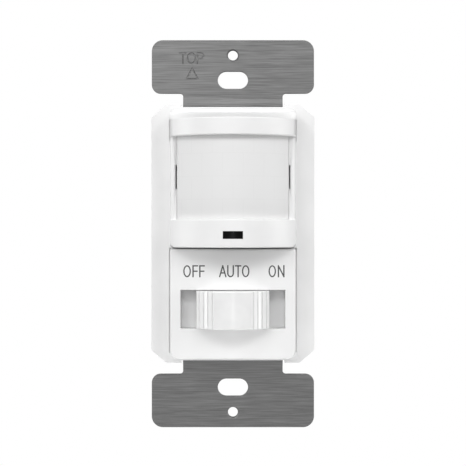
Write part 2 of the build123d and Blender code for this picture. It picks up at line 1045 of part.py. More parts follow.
def slide_switch_shell():
    rear = control_board_front - switch_base_thickness
    half = switch_length / 2
    half_height = switch_height / 2
    wall = switch_shell_wall
    middle = window_middle
    front = switch_shell_front
    shell = block(-half, half, front, rear, middle - half_height, middle + half_height)
    shell = fillet(shell.faces().sort_by(Axis.Y)[0].edges(), wall)
    shell -= block(
        -half + wall,
        half - wall,
        front + wall,
        rear + cut_over,
        middle - half_height + wall,
        middle + half_height - wall,
    )
    slot_half_width = stem_width / 2 + knob_travel + slot_gap
    slot_half_height = stem_height / 2 + slot_gap
    shell -= block(
        -slot_half_width,
        slot_half_width,
        front - cut_over,
        front + wall + cut_over,
        middle - slot_half_height,
        middle + slot_half_height,
    )
    return shell


def switch_actuator():
    front = switch_shell_front + switch_shell_wall + actuator_gap
    rear = front + actuator_thickness
    middle = window_middle
    slider = block(
        -actuator_length / 2,
        actuator_length / 2,
        front,
        rear,
        middle - actuator_height / 2,
        middle + actuator_height / 2,
    )
    slider += block(
        -stem_width / 2,
        stem_width / 2,
        stem_tip,
        front,
        middle - stem_height / 2,
        middle + stem_height / 2,
    )
    return slider


def switch_contact():
    front = switch_shell_front + switch_shell_wall + actuator_gap + actuator_thickness
    rear = control_board_front - switch_base_thickness - actuator_gap
    half = contact_length / 2
    low = window_middle - contact_height / 2
    high = window_middle + contact_height / 2
    bridge = block(-half, half, front, front + contact_thickness, low, high)
    for side in (-1, 1):
        end = side * half
        root = side * (half - contact_leg)
        bridge += block(min(end, root), max(end, root), front, rear, low, high)
    return bridge


def slide_knob():
    low = window_middle - knob_half_height
    high = window_middle + knob_half_height
    shape = barrel(knob_radius, knob_axis, half_knob, knob_rear, low, high)
    front_face = shape.faces().filter_by(GeomType.CYLINDER)[0]
    shape = fillet(front_face.edges(), knob_edge_radius)
    for side in (-1, 1):
        for index in range(rib_count):
            x = side * (half_knob - rib_edge_distance - index * rib_pitch)
            y = knob_axis - math.sqrt(knob_radius**2 - x**2)
            cutter = Cylinder(rib_groove_radius, window_height)
            shape -= Pos(x, y, window_middle) * cutter
    shape -= barrel(
        knob_radius - knob_wall,
        knob_axis,
        half_knob - knob_wall,
        knob_rear + cut_over,
        low + knob_wall,
        high - knob_wall,
    )
    core = barrel(
        knob_radius - knob_wall / 2,
        knob_axis,
        stem_width / 2 + socket_wall,
        knob_rear,
        window_middle - stem_height / 2 - socket_wall,
        window_middle + stem_height / 2 + socket_wall,
    )
    shape += core
    shape -= block(
        -stem_width / 2 - stem_gap,
        stem_width / 2 + stem_gap,
        stem_tip,
        knob_rear + cut_over,
        window_middle - stem_height / 2 - stem_gap,
        window_middle + stem_height / 2 + stem_gap,
    )
    return shape


def cover_plate():
    height = cover_top - cover_bottom
    middle = (cover_top + cover_bottom) / 2
    outline = Pos(0, middle) * Rectangle(face_width, height)
    outline = fillet(outline.vertices().sort_by(Axis.Y)[:2], cover_bottom_radius)
    outline = fillet(outline.vertices().sort_by(Axis.Y)[-2:], cover_top_radius)
    plate = front_slab(outline, cover_front, cover_rear)
    plate = fillet(plate.faces().sort_by(Axis.Y)[0].edges(), cover_edge_radius)
    inner = Pos(0, middle) * Rectangle(face_width - 2 * cover_skirt, height - 2 * cover_skirt)
    inner = fillet(inner.vertices().sort_by(Axis.Y)[:2], cover_bottom_radius - cover_skirt)
    plate -= front_slab(inner, cover_inside, cover_rear + cut_over)

    half_window = window_width / 2
    half_height = window_height / 2
    rim_rear = deck_front - window_rim_gap
    plate += block(
        -half_window - window_rim,
        half_window + window_rim,
        cover_inside,
        rim_rear,
        window_middle - half_height - window_rim,
        window_middle + half_height + window_rim,
    )
    plate -= block(
        -half_window,
        half_window,
        cover_front - cut_over,
        rim_rear + cut_over,
        window_middle - half_height,
        window_middle + half_height,
    )
    for x, z, outward in hook_places():
        plate += block(
            x - hook_width / 2,
            x + hook_width / 2,
            cover_inside,
            hook_tip,
            z - hook_thickness / 2,
            z + hook_thickness / 2,
        )
        barb_far = z + outward * (hook_thickness / 2 + barb_reach)
        plate += block(
            x - hook_width / 2,
            x + hook_width / 2,
            hook_tip - barb_length,
            hook_tip,
            min(z, barb_far),
            max(z, barb_far),
        )
    return plate


def terminal_places():
    # Side of the housing and height of each wire terminal
    return {
        "line_terminal": (1, terminal_z),
        "load_terminal": (1, -terminal_z),
        "neutral_terminal": (-1, terminal_z),
    }


def sided_block(side, x_near, x_far, y_low, y_high, z_low, z_high):
    # A block given by its distances from the middle plane on one side
    x_low = min(side * x_near, side * x_far)
    x_high = max(side * x_near, side * x_far)
    return block(x_low, x_high, y_low, y_high, z_low, z_high)


def sided_post(side, y, z, radius, x_near, x_far):
    return side_post(y, z, radius, min(side * x_near, side * x_far), max(side * x_near, side * x_far))


def rear_housing():
    outline = RectangleRounded(rear_width, rear_height, rear_corner_radius)
    shell = front_slab(outline, ring_rear, rear_depth)
    shell = fillet(shell.faces().sort_by(Axis.Y)[-1].edges(), rear_edge_radius)
    inner = RectangleRounded(
        rear_width - 2 * rear_wall, rear_height - 2 * rear_wall, rear_inner_radius
    )
    shell -= front_slab(inner, ring_rear - cut_over, rear_floor)

    for x, z in screw_places():
        shell += post(x, z, column_radius, ring_rear, rear_floor) & front_slab(
            outline, ring_rear, rear_depth
        )
        shell -= post(x, z, screw_radius + screw_clearance, ring_rear - cut_over, column_seat)
        shell -= post(x, z, well_radius, column_seat, rear_depth + cut_over)

    for side in (-1, 1):
        for z in (-ledge_z, ledge_z):
            shell += sided_block(
                side,
                half_inside - ledge_reach,
                half_inside,
                control_board_rear,
                rear_floor,
                z - ledge_height / 2,
                z + ledge_height / 2,
            )
    for x in (-standoff_x, standoff_x):
        for z in (-standoff_z, standoff_z):
            shell += post(x, z, standoff_radius, power_board_rear, rear_floor)

    for side, z in terminal_places().values():
        shell += sided_block(
            side,
            pocket_floor - pocket_wall,
            half_inside,
            pocket_front - pocket_wall,
            pocket_rear + pocket_wall,
            z - pocket_height / 2 - pocket_wall,
            z + pocket_height / 2 + pocket_wall,
        )
    for side, z in terminal_places().values():
        shell -= sided_block(
            side,
            pocket_floor,
            half_rear + cut_over,
            pocket_front,
            pocket_rear,
            z - pocket_height / 2,
            z + pocket_height / 2,
        )
        shell -= sided_block(
            side,
            pocket_floor,
            pocket_floor + terminal_thickness + terminal_leg_gap,
            pocket_rear - cut_over,
            pocket_rear + pocket_wall,
            z - terminal_leg_height / 2 - terminal_leg_gap,
            z + terminal_leg_height / 2 + terminal_leg_gap,
        )
        shell -= sided_post(
            side,
            terminal_y,
            z,
            terminal_screw_radius + terminal_hole_gap,
            pocket_floor - pocket_wall - cut_over,
            pocket_floor + cut_over,
        )

    bottom = -rear_height / 2
    bore_top = bottom - ground_gap + ground_screw_tip
    boss_height = bore_top + ground_boss_cap - bottom
    boss = Cylinder(ground_boss_radius, boss_height)
    shell += Pos(0, ground_screw_y, bottom + boss_height / 2) * boss
    bore_depth = bore_top + cut_over - bottom
    bore = Cylinder(terminal_screw_radius + terminal_hole_gap, bore_depth)
    shell -= Pos(0, ground_screw_y, bore_top - bore_depth / 2 + terminal_hole_gap) * bore

    label = RectangleRounded(label_recess_width, label_recess_height, rear_edge_radius)
    shell -= front_slab(label, rear_depth - label_recess_depth, rear_depth + cut_over)
    return shell


def housing_screws():
    screws = []
    for x, z in screw_places():
        tip = cover_inside + boss_tip_gap + boss_cap + screw_tip_gap
        shank = post(x, z, screw_radius, tip, column_seat)
        shank = chamfer(shank.faces().sort_by(Axis.Y)[0].edges(), screw_tip_chamfer)
        head = post(x, z, screw_head_radius, column_seat, column_seat + screw_head_height)
        head = fillet(head.faces().sort_by(Axis.Y)[-1].edges(), screw_head_edge)
        screw = shank + head
        head_top = column_seat + screw_head_height
        for turn in (0, 90):
            groove = Box(screw_recess_radius * 2, screw_recess_depth * 2, screw_recess_width)
            screw -= Pos(x, head_top, z) * (Rot(0, turn, 0) * groove)
        screws.append(screw)
    return Compound(children=screws)


def power_board():
    half_height = power_board_height / 2
    ear_half = power_board_ear_height / 2
    board = block(
        -power_board_width / 2,
        power_board_width / 2,
        power_board_front,
        power_board_rear,
        -half_height,
        half_height,
    )
    board += block(
        -power_board_ear_width / 2,
        power_board_ear_width / 2,
        power_board_front,
        power_board_rear,
        -ear_half,
        ear_half,
    )
    return board


def board_header():
    length = header_pitch * header_pin_count
    strip = block(
        -length / 2,
        length / 2,
        control_board_rear,
        control_board_rear + header_thickness,
        header_z - header_height / 2,
        header_z + header_height / 2,
    )
    strip = chamfer(strip.edges().filter_by(Axis.Y), header_edge)
    for index in range(header_pin_count):
        x = (index - (header_pin_count - 1) / 2) * header_pitch
        strip += block(
            x - header_pin / 2,
            x + header_pin / 2,
            control_board_rear,
            power_board_front,
            header_z - header_pin / 2,
            header_z + header_pin / 2,
        )
    return strip


def on_power_board(x, z, width, height, depth):
    front = power_board_front - depth
    return block(
        x - width / 2, x + width / 2, front, power_board_front, z - height / 2, z + height / 2
    )


def relay():
    case = on_power_board(relay_x, relay_z, relay_width, relay_height, relay_depth)
    return chamfer(case.faces().sort_by(Axis.Y)[0].edges(), relay_edge)


def film_capacitor():
    case = on_power_board(film_x, film_z, film_width, film_height, film_depth)
    return fillet(case.faces().sort_by(Axis.Y)[0].edges(), film_edge)


def can_capacitor(x, z, radius, height):
    # An electrolytic can with its rolled groove near the board
    front = power_board_front - height
    can = post(x, z, radius, front, power_board_front)
    can = fillet(can.edges().filter_by(GeomType.CIRCLE), can_edge)
    ring = Torus(radius, can_groove_radius)
    groove_y = power_board_front - can_groove_rise
    return can - Pos(x, groove_y, z) * (Rot(90, 0, 0) * ring)


def varistor():
    y = power_board_front - varistor_radius
    half = varistor_thickness / 2
    disc = side_post(y, varistor_z, varistor_radius, varistor_x - half, varistor_x + half)
    disc = fillet(disc.edges().filter_by(GeomType.CIRCLE), varistor_edge)
    foot_half = varistor_radius * varistor_foot_share
    foot = block(
        varistor_x - varistor_foot_thickness / 2,
        varistor_x + varistor_foot_thickness / 2,
        y,
        power_board_front,
        varistor_z - foot_half,
        varistor_z + foot_half,
    )
    return disc + foot


def choke():
    front = power_board_front - choke_height
    coil = post(choke_x, choke_z, choke_waist_radius, front, power_board_front)
    coil += post(choke_x, choke_z, choke_radius, front, front + choke_lip)
    coil += post(
        choke_x, choke_z, choke_radius, power_board_front - choke_lip, power_board_front
    )
    return coil


def rectifier():
    case = on_power_board(
        rectifier_x, rectifier_z, rectifier_width, rectifier_height, rectifier_depth
    )
    return chamfer(case.faces().sort_by(Axis.Y)[0].edges(), rectifier_edge)


def fuse():
    y = power_board_front - fuse_radius - fuse_cap_extra
    half = fuse_length / 2
    tube = side_post(y, fuse_z, fuse_radius, fuse_x - half, fuse_x + half)
    cap_radius = fuse_radius + fuse_cap_extra
    for side in (-1, 1):
        end = fuse_x + side * half
        root = fuse_x + side * (half - fuse_cap_length)
        tube += side_post(y, fuse_z, cap_radius, min(end, root), max(end, root))
    return tube


def dropper_resistor():
    y = power_board_front - resistor_radius
    half = resistor_length / 2
    body = side_post(y, resistor_z, resistor_waist, resistor_x - half, resistor_x + half)
    for side in (-1, 1):
        end = resistor_x + side * half
        root = resistor_x + side * (half - resistor_end)
        body += side_post(y, resistor_z, resistor_radius, min(end, root), max(end, root))
    ends = body.edges().filter_by(GeomType.CIRCLE).filter_by(
        lambda edge: math.isclose(abs(edge.center().X - resistor_x), half)
    )
    return fillet(ends, resistor_edge)


def terminal(side, z):
    # A strip that lies on the pocket's floor, with a leg down to the power board
    floor = pocket_floor
    top = floor + terminal_thickness
    strip = sided_block(
        side,
        floor,
        top,
        pocket_front + terminal_front_gap,
        pocket_rear,
        z - terminal_height / 2,
        z + terminal_height / 2,
    )
    strip += sided_block(
        side,
        floor,
        top,
        pocket_rear,
        power_board_front,
        z - terminal_leg_height / 2,
        z + terminal_leg_height / 2,
    )
    hole = terminal_screw_radius + thread_gap
    return strip - sided_post(side, terminal_y, z, hole, floor - cut_over, top + cut_over)


def clamp_plates():
    plates = []
    for side, z in terminal_places().values():
        near = pocket_floor + terminal_thickness
        far = near + clamp_thickness
        plate = sided_block(
            side,
            near,
            far,
            terminal_y - clamp_size / 2,
            terminal_y + clamp_size / 2,
            z - clamp_size / 2,
            z + clamp_size / 2,
        )
        plate = chamfer(plate.edges().filter_by(Axis.X), clamp_lip)
        hole = terminal_screw_radius + thread_gap
        plates.append(
            plate - sided_post(side, terminal_y, z, hole, near - cut_over, far + cut_over)
        )
    return Compound(children=plates)


def terminal_screw(side, z):
    seat = pocket_floor + terminal_thickness + clamp_thickness
    tip = pocket_floor - terminal_screw_tip
    head_top = seat + terminal_head_height
    shank = sided_post(side, terminal_y, z, terminal_screw_radius, tip, seat)
    head = sided_post(side, terminal_y, z, terminal_head_radius, seat, head_top)
    rim = head.edges().filter_by(GeomType.CIRCLE).sort_by(lambda edge: side * edge.center().X)
    head = fillet(rim[-1], terminal_head_edge)
    slot = sided_block(
        side,
        head_top - terminal_slot_depth,
        head_top + cut_over,
        terminal_y - terminal_slot_width / 2,
        terminal_y + terminal_slot_width / 2,
        z - terminal_head_radius - cut_over,
        z + terminal_head_radius + cut_over,
    )
    return shank + head - slot


def ground_terminal():
    # An L of sheet welded to the back of the strap's lower neck
    top = -rear_height / 2 - ground_gap
    low = top - ground_foot
    half = ground_width / 2
    shelf = block(-half, half, 0, ground_reach, top - ground_thickness, top)
    foot = block(-half, half, 0, ground_thickness, low, top)
    bracket = shelf + foot
    hole = Cylinder(terminal_screw_radius + thread_gap, 2 * (ground_thickness + cut_over))
    return bracket - Pos(0, ground_screw_y, top) * hole


def ground_screw():
    seat = -rear_height / 2 - ground_gap - ground_thickness
    tip = seat + ground_thickness + ground_screw_tip
    shank = Cylinder(terminal_screw_radius, tip - seat)
    shank = Pos(0, ground_screw_y, (tip + seat) / 2) * shank
    head = Cylinder(terminal_head_radius, terminal_head_height)
    head = fillet(head.edges().sort_by(Axis.Z)[0], terminal_head_edge)
    head = Pos(0, ground_screw_y, seat - terminal_head_height / 2) * head
    slot_low = seat - terminal_head_height
    slot = block(
        -terminal_slot_width / 2,
        terminal_slot_width / 2,
        ground_screw_y - terminal_head_radius - cut_over,
        ground_screw_y + terminal_head_radius + cut_over,
        slot_low - cut_over,
        slot_low + terminal_slot_depth,
    )
    return shank + head - slot


def all_parts():
    parts = {
        "mounting_strap": mounting_strap(),
        "front_housing": front_housing(),
        "fresnel_lens": fresnel_lens(),
        "lens_retainer": lens_retainer(),
        "sensor_window": sensor_window(),
        "rear_housing": rear_housing(),
        "housing_screws": housing_screws(),
        "control_board": control_board(),
        "indicator_led": indicator_led(),
        "photocell": photocell(),
        "slide_switch_base": slide_switch_base(),
        "slide_switch_shell": slide_switch_shell(),
        "switch_actuator": switch_actuator(),
        "switch_contact": switch_contact(),
        "slide_knob": slide_knob(),
        "cover_plate": cover_plate(),
        "microcontroller": chip(
            controller_x,
            controller_z,
            controller_width,
            controller_height,
            controller_thickness,
            controller_legs,
        ),
        "amplifier_chip": chip(
            amplifier_x,
            amplifier_z,
            amplifier_width,
            amplifier_height,
            amplifier_thickness,
            amplifier_legs,
        ),
        "power_board": power_board(),
        "board_header": board_header(),
        "relay": relay(),
        "film_capacitor": film_capacitor(),
        "varistor": varistor(),
        "bulk_capacitor": can_capacitor(bulk_x, bulk_z, bulk_radius, bulk_height),
        "filter_capacitor": can_capacitor(
            filter_can_x, filter_can_z, filter_can_radius, filter_can_height
        ),
        "choke": choke(),
        "rectifier": rectifier(),
        "fuse": fuse(),
        "dropper_resistor": dropper_resistor(),
        "clamp_plates": clamp_plates(),
        "ground_terminal": ground_terminal(),
        "ground_screw": ground_screw(),
    }
    parts.update(detector_parts())
    for name, x in zip(("time", "range", "light"), dial_places()):
        parts[name + "_dial"] = dial(x)
        parts[name + "_trimmer"] = trimmer(x)
    for name, place in terminal_places().items():
        parts[name] = terminal(*place)
    hot = [place for place in terminal_places().values() if place[0] > 0]
    parts["brass_terminal_screws"] = Compound(children=[terminal_screw(*p) for p in hot])
    parts["neutral_terminal_screw"] = terminal_screw(*terminal_places()["neutral_terminal"])
    return parts


os.makedirs("parts", exist_ok=True)
for node, shape in all_parts().items():
    export_step(shape, "parts/" + node + ".step")
    print(node, len(shape.solids()))
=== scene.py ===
# Wall switch with a motion sensor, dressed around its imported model
import bpy
import bmesh
import math
from mathutils import Matrix, Vector


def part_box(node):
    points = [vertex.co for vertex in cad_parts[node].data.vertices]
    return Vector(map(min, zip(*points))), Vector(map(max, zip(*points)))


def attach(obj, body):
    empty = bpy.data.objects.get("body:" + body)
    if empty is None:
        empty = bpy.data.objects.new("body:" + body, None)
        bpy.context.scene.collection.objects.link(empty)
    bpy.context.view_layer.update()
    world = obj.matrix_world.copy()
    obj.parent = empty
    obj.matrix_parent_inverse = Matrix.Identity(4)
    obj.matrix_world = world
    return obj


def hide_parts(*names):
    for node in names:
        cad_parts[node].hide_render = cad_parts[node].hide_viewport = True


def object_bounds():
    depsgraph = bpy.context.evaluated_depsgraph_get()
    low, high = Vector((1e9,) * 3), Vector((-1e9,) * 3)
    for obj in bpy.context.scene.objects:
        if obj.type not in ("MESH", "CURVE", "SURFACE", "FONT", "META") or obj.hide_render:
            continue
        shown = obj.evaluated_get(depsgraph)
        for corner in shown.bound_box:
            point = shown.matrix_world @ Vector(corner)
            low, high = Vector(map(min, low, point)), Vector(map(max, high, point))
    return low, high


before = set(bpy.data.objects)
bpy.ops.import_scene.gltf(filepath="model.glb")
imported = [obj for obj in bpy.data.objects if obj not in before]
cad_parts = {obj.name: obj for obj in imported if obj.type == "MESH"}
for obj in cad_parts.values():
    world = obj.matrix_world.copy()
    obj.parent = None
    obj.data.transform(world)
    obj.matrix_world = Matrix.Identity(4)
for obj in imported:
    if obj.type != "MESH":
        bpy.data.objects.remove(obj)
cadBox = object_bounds()
mm = 0.001  # the scene is in metres, sizes below are in millimetres
print("frame loaded with", len(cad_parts), "nodes")


def linearColour(hexText):
    # sRGB hex to the linear values that a shader takes
    shares = [int(hexText[i:i + 2], 16) / 255 for i in (1, 3, 5)]
    return (*[s / 12.92 if s <= 0.04045 else ((s + 0.055) / 1.055) ** 2.4 for s in shares], 1)


def addNode(tree, kind, settings=None, inputs=None):
    # One node with its settings, and its inputs as links or as values
    node = tree.nodes.new(kind)
    for name, value in (settings or {}).items():
        setattr(node, name, value)
    for key, value in (inputs or {}).items():
        if isinstance(value, bpy.types.NodeSocket):
            tree.links.new(value, node.inputs[key])
        else:
            node.inputs[key].default_value = value
    return node


def startMaterial(name):
    # An empty material, and the object coordinates that its patterns read
    material = bpy.data.materials.new(name)
    material.use_nodes = True
    tree = material.node_tree
    tree.nodes.clear()
    return material, tree, addNode(tree, "ShaderNodeTexCoord").outputs["Object"]


def finishMaterial(tree, inputs):
    # The surface shader and its output
    shader = addNode(tree, "ShaderNodeBsdfPrincipled", inputs=inputs)
    addNode(tree, "ShaderNodeOutputMaterial", inputs={"Surface": shader.outputs["BSDF"]})


# What a skin takes where its own values don't say otherwise, with sizes in millimetres
usualSkin = {
    "drift": 6.0,                   # size of the slow patches of colour
    "driftDetail": 2.0,
    "driftSpan": (0.35, 0.65),      # of the noise, from the low colour to the high one
    "grainDetail": 3.0,
    "grainSpan": (0.3, 0.7),        # of the noise, from the smoothest skin to the roughest
    "uneven": 0.04,                 # roughness, either way from its middle value
    "stretch": (1, 1, 1),           # of the grain, along x, y and z
    "shader": {},
}


def skinMaterial(ownLook):
    # One finish with two patterns: a slow drift of its colour, and the fine skin of how it was made
    look = {**usualSkin, **ownLook}
    material, tree, where = startMaterial(look["name"])
    drift = addNode(tree, "ShaderNodeTexNoise", inputs={
        "Vector": where, "Scale": 1 / (look["drift"] * mm), "Detail": look["driftDetail"],
    })
    placed = addNode(tree, "ShaderNodeMapping", inputs={
        "Vector": where, "Scale": [1 / (look["grain"] * mm * s) for s in look["stretch"]],
    })
    skin = addNode(tree, "ShaderNodeTexNoise", inputs={
        "Vector": placed.outputs["Vector"], "Scale": 1.0, "Detail": look["grainDetail"],
    })
    mixed = addNode(tree, "ShaderNodeMapRange", inputs={
        "Value": drift.outputs["Fac"],
        "From Min": look["driftSpan"][0], "From Max": look["driftSpan"][1],
    })
    colour = addNode(tree, "ShaderNodeMix", {"data_type": "RGBA"}, {
        0: mixed.outputs["Result"], 6: linearColour(look["low"]), 7: linearColour(look["high"]),
    })
    rough = addNode(tree, "ShaderNodeMapRange", inputs={
        "Value": skin.outputs["Fac"],
        "From Min": look["grainSpan"][0], "From Max": look["grainSpan"][1],
        "To Min": look["rough"] - look["uneven"], "To Max": look["rough"] + look["uneven"],
    })
    relief = addNode(tree, "ShaderNodeBump", inputs={
        "Height": skin.outputs["Fac"], "Distance": look["depth"] * mm,
    })
    finishMaterial(tree, {
        "Base Color": colour.outputs[2], "Roughness": rough.outputs["Result"],
        "Normal": relief.outputs["Normal"], **look["shader"],
    })
    return material


strapLook = {
    "dull": "#555555",
    "bright": "#737373",
    # width, length and detail of the lines that belt grit scores, drawn coarser than their
    # 0.05 mm so that they show, and of the bands where the belt wore unevenly
    "lines": (0.16, 7.0, 3.0),
    "bands": (0.36, 16.0, 2.0),
    "bandShare": 0.3,       # of the bands in the streaks, and the rest is lines
    "span": (0.3, 0.7),     # of the noise, from dull to bright
    "rough": 0.42,
    "uneven": 0.07,
    "depth": 0.012,
    "relief": 0.5,          # strength of the lines' shading
}


def brushedZincSteel(look):
    # Zinc plated sheet steel, belt brushed across: soft grey under level streaks of mixed length
    material, tree, where = startMaterial("brushedZincSteel")
    layers = []
    for width, length, detail in (look["lines"], look["bands"]):
        placed = addNode(tree, "ShaderNodeMapping", inputs={
            "Vector": where, "Scale": (1 / (length * mm), 1 / (width * mm), 1 / (width * mm)),
        })
        layers.append(addNode(tree, "ShaderNodeTexNoise", inputs={
            "Vector": placed.outputs["Vector"], "Scale": 1.0, "Detail": detail,
        }).outputs["Fac"])
    lines, bands = layers
    streaks = addNode(tree, "ShaderNodeMix", inputs={
        0: look["bandShare"], 2: lines, 3: bands,
    }).outputs[0]
    span = {"From Min": look["span"][0], "From Max": look["span"][1]}
    shade = addNode(tree, "ShaderNodeMapRange", inputs={"Value": streaks, **span})
    colour = addNode(tree, "ShaderNodeMix", {"data_type": "RGBA"}, {
        0: shade.outputs["Result"], 6: linearColour(look["dull"]), 7: linearColour(look["bright"]),
    })
    rough = addNode(tree, "ShaderNodeMapRange", inputs={
        "Value": lines, **span,
        "To Min": look["rough"] - look["uneven"], "To Max": look["rough"] + look["uneven"],
    })
    relief = addNode(tree, "ShaderNodeBump", inputs={
        "Height": lines, "Distance": look["depth"] * mm, "Strength": look["relief"],
    })
    finishMaterial(tree, {
        "Base Color": colour.outputs[2], "Roughness": rough.outputs["Result"],
        "Metallic": 1.0, "Normal": relief.outputs["Normal"],
    })
    return material


lensLook = {
    "base": "#DFDFDF",
    "seam": "#DCDCDC",
    "segment": 5.4,         # between upright seams
    "row": 6.0,             # between level seams
    "seamWidth": 0.25,
    "rough": 0.5,
    "depth": 0.002,
    "milkiness": 0.3,
    "milkDepth": 0.5,       # how far light wanders inside
}


def milkyPolyethylene(look):
    # Thin moulded high density polyethylene: milky and soft, with segment seams that barely show
    material, tree, where = startMaterial("milkyPolyethylene")
    base = linearColour(look["base"])
    upright = addNode(tree, "ShaderNodeMapping", inputs={
        "Vector": where, "Rotation": (math.radians(-90), 0, 0),
        "Location": (look["segment"] * mm / 2, look["row"] * mm / 2, 0),
    })
    seams = addNode(tree, "ShaderNodeTexBrick", {"offset": 0.5}, {
        "Vector": upright.outputs["Vector"], "Scale": 1.0, "Color1": base, "Color2": base,
        "Mortar": linearColour(look["seam"]), "Mortar Size": look["seamWidth"] * mm / 2,
        "Mortar Smooth": 1.0, "Brick Width": look["segment"] * mm, "Row Height": look["row"] * mm,
    })
    relief = addNode(tree, "ShaderNodeBump", {"invert": True}, {
        "Height": seams.outputs["Fac"], "Distance": look["depth"] * mm,
    })
    finishMaterial(tree, {
        "Base Color": seams.outputs["Color"], "Roughness": look["rough"], "IOR": 1.51,
        "Subsurface Weight": look["milkiness"], "Subsurface Radius": (1.0, 1.0, 1.0),
        "Subsurface Scale": look["milkDepth"] * mm, "Normal": relief.outputs["Normal"],
    })
    return material


boardLook = {
    "mask": "#11402A",
    "track": "#1E6B41",
    "tin": "#B8BABC",
    "trackPitch": 2.6,
    "trackWidth": 0.5,
    "trackEdge": 0.02,      # share of the pitch over which a track fades out
    "trackScatter": 0.7,
    "copper": 0.035,
    "padPitch": 2.54,
    "padRadius": 0.45,
    "padScatter": 0.6,
    "rough": 0.3,
}


def solderMaskBoard(look):
    # Glass epoxy board under green mask: copper tracks show as paler lines, tinned pads as dots
    material, tree, where = startMaterial("solderMaskBoard")
    bent = addNode(tree, "ShaderNodeTexVoronoi", {"feature": "DISTANCE_TO_EDGE"}, {
        "Vector": where, "Scale": 1 / (look["trackPitch"] * mm), "Randomness": look["trackScatter"],
    })
    halfTrack = look["trackWidth"] / look["trackPitch"] / 2
    track = addNode(tree, "ShaderNodeMapRange", inputs={
        "Value": bent.outputs["Distance"], "From Min": halfTrack,
        "From Max": halfTrack + look["trackEdge"], "To Min": 1.0, "To Max": 0.0,
    }).outputs["Result"]
    covered = addNode(tree, "ShaderNodeMix", {"data_type": "RGBA"}, {
        0: track, 6: linearColour(look["mask"]), 7: linearColour(look["track"]),
    })
    cells = addNode(tree, "ShaderNodeTexVoronoi", inputs={
        "Vector": where, "Scale": 1 / (look["padPitch"] * mm), "Randomness": look["padScatter"],
    })
    pad = addNode(tree, "ShaderNodeMath", {"operation": "LESS_THAN"}, {
        0: cells.outputs["Distance"], 1: look["padRadius"] / look["padPitch"],
    }).outputs[0]
    colour = addNode(tree, "ShaderNodeMix", {"data_type": "RGBA"}, {
        0: pad, 6: covered.outputs[2], 7: linearColour(look["tin"]),
    })
    relief = addNode(tree, "ShaderNodeBump", inputs={
        "Height": track, "Distance": look["copper"] * mm,
    })
    finishMaterial(tree, {
        "Base Color": colour.outputs[2], "Metallic": pad, "Roughness": look["rough"],
        "Normal": relief.outputs["Normal"],
    })
    return material


# Injection moulded polycarbonate from a satin polished mould: cool white with an even, soft gloss
whitePolycarbonate = {
    "name": "whitePolycarbonate", "low": "#E4E4E4", "high": "#E8E8E8",
    "rough": 0.38, "grain": 0.4, "depth": 0.0015, "drift": 9.0, "shader": {"IOR": 1.58},
}

